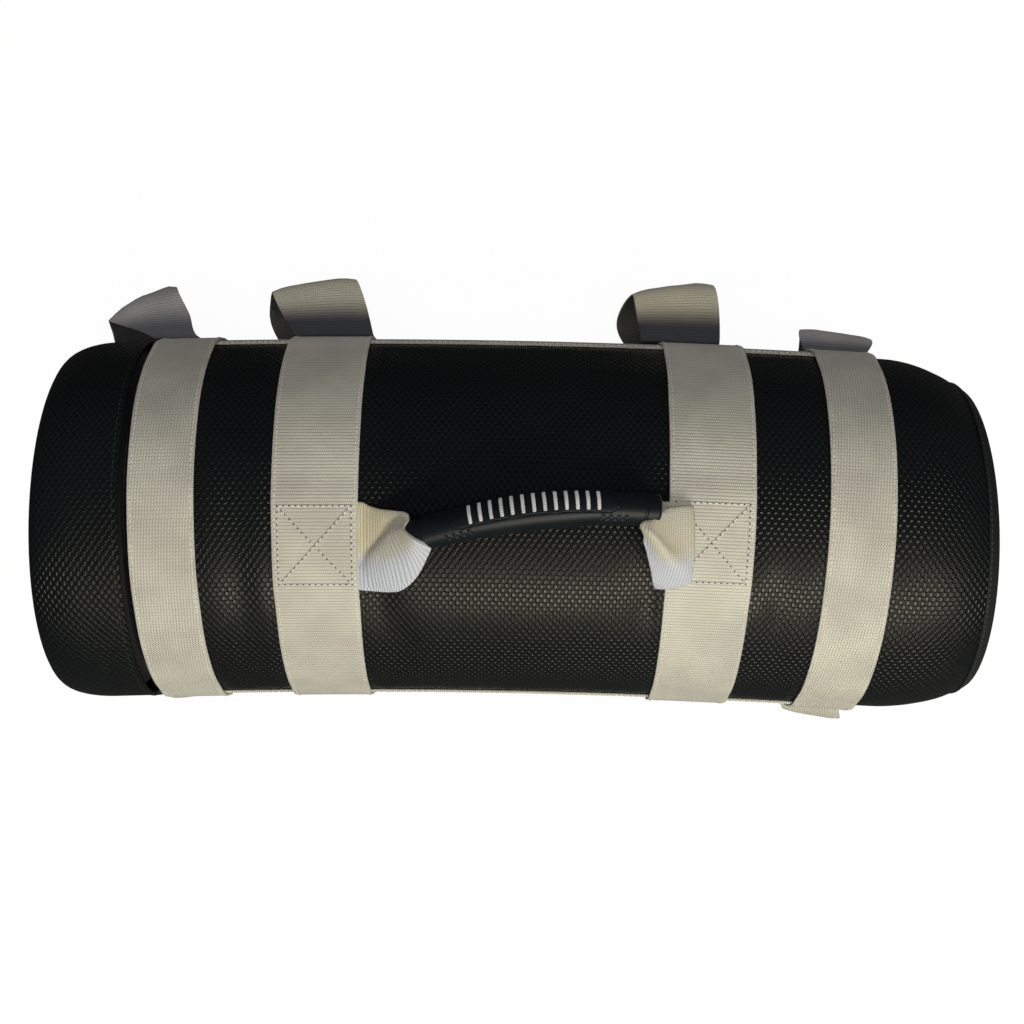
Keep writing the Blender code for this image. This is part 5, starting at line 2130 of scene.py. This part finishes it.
@dataclass
class Contents(Assembly):
    """Sand in its liner, whose neck is tied."""

    cover: Cover
    liner_wall: float = 0.0004
    dome_depth: float = 0.068
    pleats: int = 17
    pleat_depth: float = 0.0016
    pleat_start: float = 0.35
    pleat_run: float = 0.04
    pleat_core: float = 0.03
    slack: float = 0.0008
    slack_size: float = 0.03
    neck_clearance: float = 0.0049
    neck_radius: float = 0.018
    neck_length: float = 0.015
    neck_step: float = 0.006
    neck_flare: float = 0.002
    end_round: float = 0.018
    tie_radius: float = 0.0014
    tie_place: float = 0.006
    turn_steps: int = 96

    @property
    def dome_start(self) -> float:
        """How far to the left of the bag's middle the liner's dome starts."""
        neck = self.neck_clearance + self.form.cover_wall + self.neck_length + self.neck_step
        return self.form.left_reach - neck - self.dome_depth * math.sin(math.radians(72))

    def outer_line(self) -> list[tuple[float, float]]:
        """Outer line of the liner, from the middle of its closed end to its neck.

        Returns:
            The points of (x, radius).
        """
        form = self.form
        cover = self.cover
        radius = form.cover_radius - form.cover_wall - form.fit_gap
        face_x = form.right_reach - cover.binding_leg - cover.panel_recess
        face_x -= 2 * form.cover_wall + 2 * form.fit_gap
        flat = cover.rim[1] - 2 * form.cover_wall - 2 * form.fit_gap - self.end_round
        line = dome_line(face_x, 0.0, flat, 10)
        line += corner_line(face_x, flat, -self.end_round, self.end_round, 8)[1:]
        start, side = line[-1]
        settled = cover.shoulder_start - self.end_round
        line += [(mix(start, settled, share), mix(side, radius, smooth_share(share)))
                 for share in even_shares(6)[1:]]
        line += [(mix(settled, -self.dome_start, share), radius) for share in even_shares(30)[1:]]
        angles = [math.pi / 2 * share for share in even_shares(14)[1:]]
        line += [(-self.dome_start - self.dome_depth * math.sin(angle), radius * math.cos(angle))
                 for angle in angles if radius * math.cos(angle) > self.neck_radius]
        return line

    def gathered(self, x: float, angle: float, radius: float) -> Vector:
        """Place on the liner, whose cloth is drawn into pleats towards its neck.

        Args:
            x: place along the bag.
            angle: angle round it.
            radius: distance from its axis.

        Returns:
            The place in the scene.
        """
        past = -x - self.dome_start - self.dome_depth * self.pleat_start
        depth = self.pleat_depth * smooth_share(past / self.pleat_run)
        depth *= min(1.0, radius / self.pleat_core)
        pleats = math.sin(angle * self.pleats + 2 * math.sin(angle * 3))
        spot = Vector((x, radius * math.sin(angle), radius * math.cos(angle)))
        slack = self.slack * ripple(spot, self.slack_size, 5.0)
        return self.settled(x, angle, radius - depth * (1 + pleats) / 2 - abs(slack))

    def settled(self, x: float, angle: float, radius: float) -> Vector:
        """Place in the filling, which gives way where the cover is dented."""
        give = self.cover.dent(x, angle) * smooth_share(radius / self.form.cover_radius)
        return self.form.place(x, angle, radius - give)

    def build(self) -> None:
        """Builds liner, tie and sand."""
        form = self.form
        body = self.outer_line()
        neck_x = body[-1][0] - self.neck_step
        outer = body + [(mix(body[-1][0], neck_x, share), mix(body[-1][1], self.neck_radius, share))
                        for share in even_shares(4)[1:]]
        outer += [(neck_x - self.neck_length * share,
                   self.neck_radius + self.neck_flare * share ** 2)
                  for share in even_shares(7)[1:]]
        liner = wall_outline(outer, -self.liner_wall)
        mesh = turned_mesh("liner_sack", liner, self.gathered, self.turn_steps, closed=False)
        sack = self.shop.hand_over(mesh, "liner_cloth", "liner_cloth", nodes=("sand_liner",))
        gap = self.liner_wall + form.fit_gap + self.slack
        fill = [(x + math.copysign(gap, -x) * (radius < 0.08), max(radius - gap, PINHOLE))
                for x, radius in body]
        fill.append((fill[-1][0], PINHOLE))
        mesh = turned_mesh("sand_grains", fill, self.settled, self.turn_steps, closed=False)
        self.shop.hand_over(mesh, "sand", "sand", nodes=("sand_fill",))
        self.build_tie(neck_x)

    def build_tie(self, neck_x: float) -> None:
        """Builds the twisted cord round the neck.

        Args:
            neck_x: place along the bag where the neck starts.
        """
        rows = []
        cloth = []
        turns = [TURN * corner / 12 for corner in range(13)]
        radius = self.neck_radius + self.form.fit_gap + self.tie_radius
        for step in range(self.turn_steps + 1):
            angle = TURN * step / self.turn_steps
            row = []
            for turn in turns[:-1]:
                bulge = self.tie_radius * (1 + 0.08 * math.cos(3 * turn + step * 1.2))
                row.append(self.form.place(neck_x - self.tie_place + bulge * math.cos(turn), angle,
                                           radius + bulge * math.sin(turn)))
            rows.append(row)
            cloth.append([(self.tie_radius * turn, radius * angle) for turn in turns])
        mesh = skin_mesh("neck_tie", rows[:-1], cloth, wrap_rows=True, wrap_columns=True)
        self.shop.hand_over(mesh, "tie_cord", "tie_cord", nodes=("liner_tie",))


# Studio


@dataclass
class Studio(Assembly):
    """Camera over the bag, pale floor and soft lamps."""

    view: View = View()
    image_width: int = 1024
    sensor: float = 0.036
    floor_reach: float = 6.0
    floor_colour: tuple = (0.45, 0.45, 0.45, 1)
    floor_mirrored: tuple = (0.06, 0.06, 0.06, 1)
    floor_glow: float = 1.12
    floor_glow_share: float = 0.86
    sky_light: float = 0.07

    def build(self) -> None:
        """Builds camera, floor, lamps and world."""
        self.build_camera()
        self.build_floor()
        self.build_lamp("side_lamp", (0.36, -0.90, 0.92), (1.35, 0.42), 14.0, (1.0, 0.95, 0.84))
        top = self.build_lamp("top_lamp", (0, 0.1, 1.9), (1.4, 1.0), 14.0, (0.98, 0.97, 1.0))
        top.visible_glossy = False
        self.build_world()

    def build_camera(self) -> None:
        """Builds the camera, straight above the bag."""
        camera = bpy.data.cameras.new("camera")
        camera.sensor_width = self.sensor * 1000
        camera.lens = self.view.focal_pixels / self.image_width * self.sensor * 1000
        half = self.image_width / 2
        camera.shift_x = (half - self.view.centre_column) / self.image_width
        camera.shift_y = (self.view.centre_row - half) / self.image_width
        item = new_object("camera", camera)
        item.location = self.form.seat + Vector((0, 0, self.view.distance))
        item.rotation_euler = (0, 0, self.view.turn)
        bpy.context.scene.camera = item

    def build_floor(self) -> None:
        """Builds the floor, pale to the camera, with the bag's soft shadow."""
        mesh = bpy.data.meshes.new("floor")
        reach = self.floor_reach
        mesh.from_pydata([(-reach, -reach, 0), (reach, -reach, 0), (reach, reach, 0),
                          (-reach, reach, 0)], [], [(0, 1, 2, 3)])
        item = new_object("floor", mesh)
        tree = FinishTree("pale_floor")
        path = tree.node("ShaderNodeLightPath")
        tree.set(
            Base_Color=tree.blend(path.outputs["Is Glossy Ray"], self.floor_colour,
                                  self.floor_mirrored),
            Roughness=0.9,
        )
        glow = tree.node("ShaderNodeEmission")
        glow.inputs["Strength"].default_value = self.floor_glow
        seen = tree.math("MULTIPLY", path.outputs["Is Camera Ray"], self.floor_glow_share)
        join = tree.node("ShaderNodeMixShader")
        end = tree.tree.nodes["Material Output"]
        tree.feed(join.inputs[0], seen)
        tree.feed(join.inputs[1], tree.shader.outputs[0])
        tree.feed(join.inputs[2], glow.outputs[0])
        tree.feed(end.inputs["Surface"], join.outputs[0])
        mesh.materials.append(tree.material)

    def build_lamp(self, name: str, offset: tuple, size: tuple, power: float,
                   colour: tuple) -> bpy.types.Object:
        """Builds a soft lamp that looks at the bag.

        Args:
            name: name of the lamp.
            offset: its place from the bag's middle.
            size: width and height of its face.
            power: its power in watts.
            colour: its colour.

        Returns:
            The lamp.
        """
        lamp = bpy.data.lights.new(name, "AREA")
        lamp.shape = "RECTANGLE"
        lamp.size, lamp.size_y = size
        lamp.energy = power
        lamp.color = colour
        item = new_object(name, lamp)
        item.location = self.form.seat + Vector(offset)
        item.rotation_euler = Vector(offset).to_track_quat("Z", "Y").to_euler()
        return item

    def build_world(self) -> None:
        """Builds the even light from all round, white to the camera."""
        world = bpy.data.worlds.new("studio")
        world.use_nodes = True
        bpy.context.scene.world = world
        shades = Shades(world.node_tree)
        back = world.node_tree.nodes["Background"]
        path = shades.node("ShaderNodeLightPath")
        strength = shades.math("MULTIPLY_ADD", path.outputs["Is Camera Ray"],
                               1 - self.sky_light, self.sky_light)
        shades.feed(back.inputs["Strength"], strength)
        back.inputs["Color"].default_value = (1, 1, 1, 1)


@dataclass
class Trainer(Assembly):
    """The whole sandbag trainer."""

    tab_left: float = math.radians(-8.8)
    tab_right: float = math.radians(-5.8)

    def build(self) -> None:
        """Builds every sub-assembly in order."""
        shop = self.shop
        wide = self.form.wide_webbing
        narrow = self.form.narrow_webbing
        outer_left = Band(shop, "band_outer_left", -0.2037, narrow, "dashed_webbing")
        inner_left = Band(shop, "band_inner_left", -0.1151, wide, "ribbed_webbing", self.tab_left)
        inner_right = Band(shop, "band_inner_right", 0.1132, wide, "ribbed_webbing",
                           self.tab_right)
        outer_right = Band(shop, "band_outer_right", 0.1999, narrow, "dashed_webbing")
        bands = [outer_left, inner_left, inner_right, outer_right]
        cover = Cover(shop)
        cover.build_tube(bands)
        cover.build_end()
        for band in bands:
            band.build()
        reach = (outer_left.centre - narrow / 2, outer_right.centre + narrow / 2)
        build_rail(shop, "rail_front", RAIL_FRONT, *reach)
        build_rail(shop, "rail_back", RAIL_BACK, *reach)
        Lid(shop).build()
        Zip(shop).build()
        Contents(shop, cover).build()
        self.build_loops(*bands)
        self.build_grip(inner_left, inner_right)
        for name in ("zip_slider", "zip_puller"):
            shop.finishes.dress(frame["nodes"][name], "zinc")

    def build_loops(self, outer_left: Band, inner_left: Band, inner_right: Band,
                    outer_right: Band) -> None:
        """Builds the carry loops, each on its band.

        Args:
            outer_left: narrow band at the lid.
            inner_left: wide band next to it.
            inner_right: wide band on the other side of the grip.
            outer_right: narrow band at the closed end.
        """
        wide = "wide_loop_webbing"
        narrow = "narrow_loop_webbing"
        plain = "dashed_webbing"
        for loop in (
            Loop(self.shop, "loop_front_inner_left", inner_left, 108, 0.0415, -0.0012, -0.0155,
                 -0.0110, 1.0, 0.12, 0.0, wide, swell=0.10, tuck=0.0060),
            Loop(self.shop, "loop_front_inner_right", inner_right, 108, 0.0430, -0.0115, -0.0045,
                 -0.0090, 1.0, 0.12, 0.0, wide, swell=0.05, tuck=0.0140),
            Loop(self.shop, "loop_front_outer_left", outer_left, 108, 0.0290, -0.0125, -0.0275,
                 -0.0090, 1.5, 0.47, 0.24, narrow, 0.0034, 0.20, swell=0.34),
            Loop(self.shop, "loop_front_outer_right", outer_right, 117, 0.0232, 0.0035, 0.0030,
                 0.0080, 1.0, -0.12, 0.0, narrow, swell=0.30),
            Loop(self.shop, "loop_back_outer_left", outer_left, -126, 0.0170, 0.0, -0.0120,
                 0.0, 1.0, -0.20, 0.0, plain),
            Loop(self.shop, "loop_back_outer_right", outer_right, -126, 0.0240, 0.0, 0.0090,
                 0.0, 1.0, 0.16, 0.0, plain),
        ):
            loop.build()

    def build_grip(self, inner_left: Band, inner_right: Band) -> None:
        """Builds the grip and the tabs that hold it.

        Args:
            inner_left: band that the left tab is sewn under.
            inner_right: band that the right tab is sewn under.
        """
        grip = Grip(self.shop)
        grip.build()
        run = grip.turn @ Vector((grip.strap_reach * grip.bend_reach, 0, 0))
        for name, band, side, angle, ribs, axis in (
            ("handle_tab_left", inner_left, -1, self.tab_left, LEFT_RIBS, grip.left),
            ("handle_tab_right", inner_right, 1, self.tab_right, RIGHT_RIBS, grip.right),
        ):
            end = axis + self.form.seat
            Tab(self.shop, name, band, side, angle, ribs, end + run * side, end).build()


def main() -> None:
    """Builds the trainer and its studio."""
    logging.basicConfig(level=logging.INFO, format="%(name)s %(message)s")
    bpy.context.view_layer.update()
    bpy.context.scene.view_settings.view_transform = "Standard"
    shop = Workshop(bag_form(), Finishes())
    Studio(shop).build()
    Trainer(shop).build()


if __name__ == "__main__":
    main()
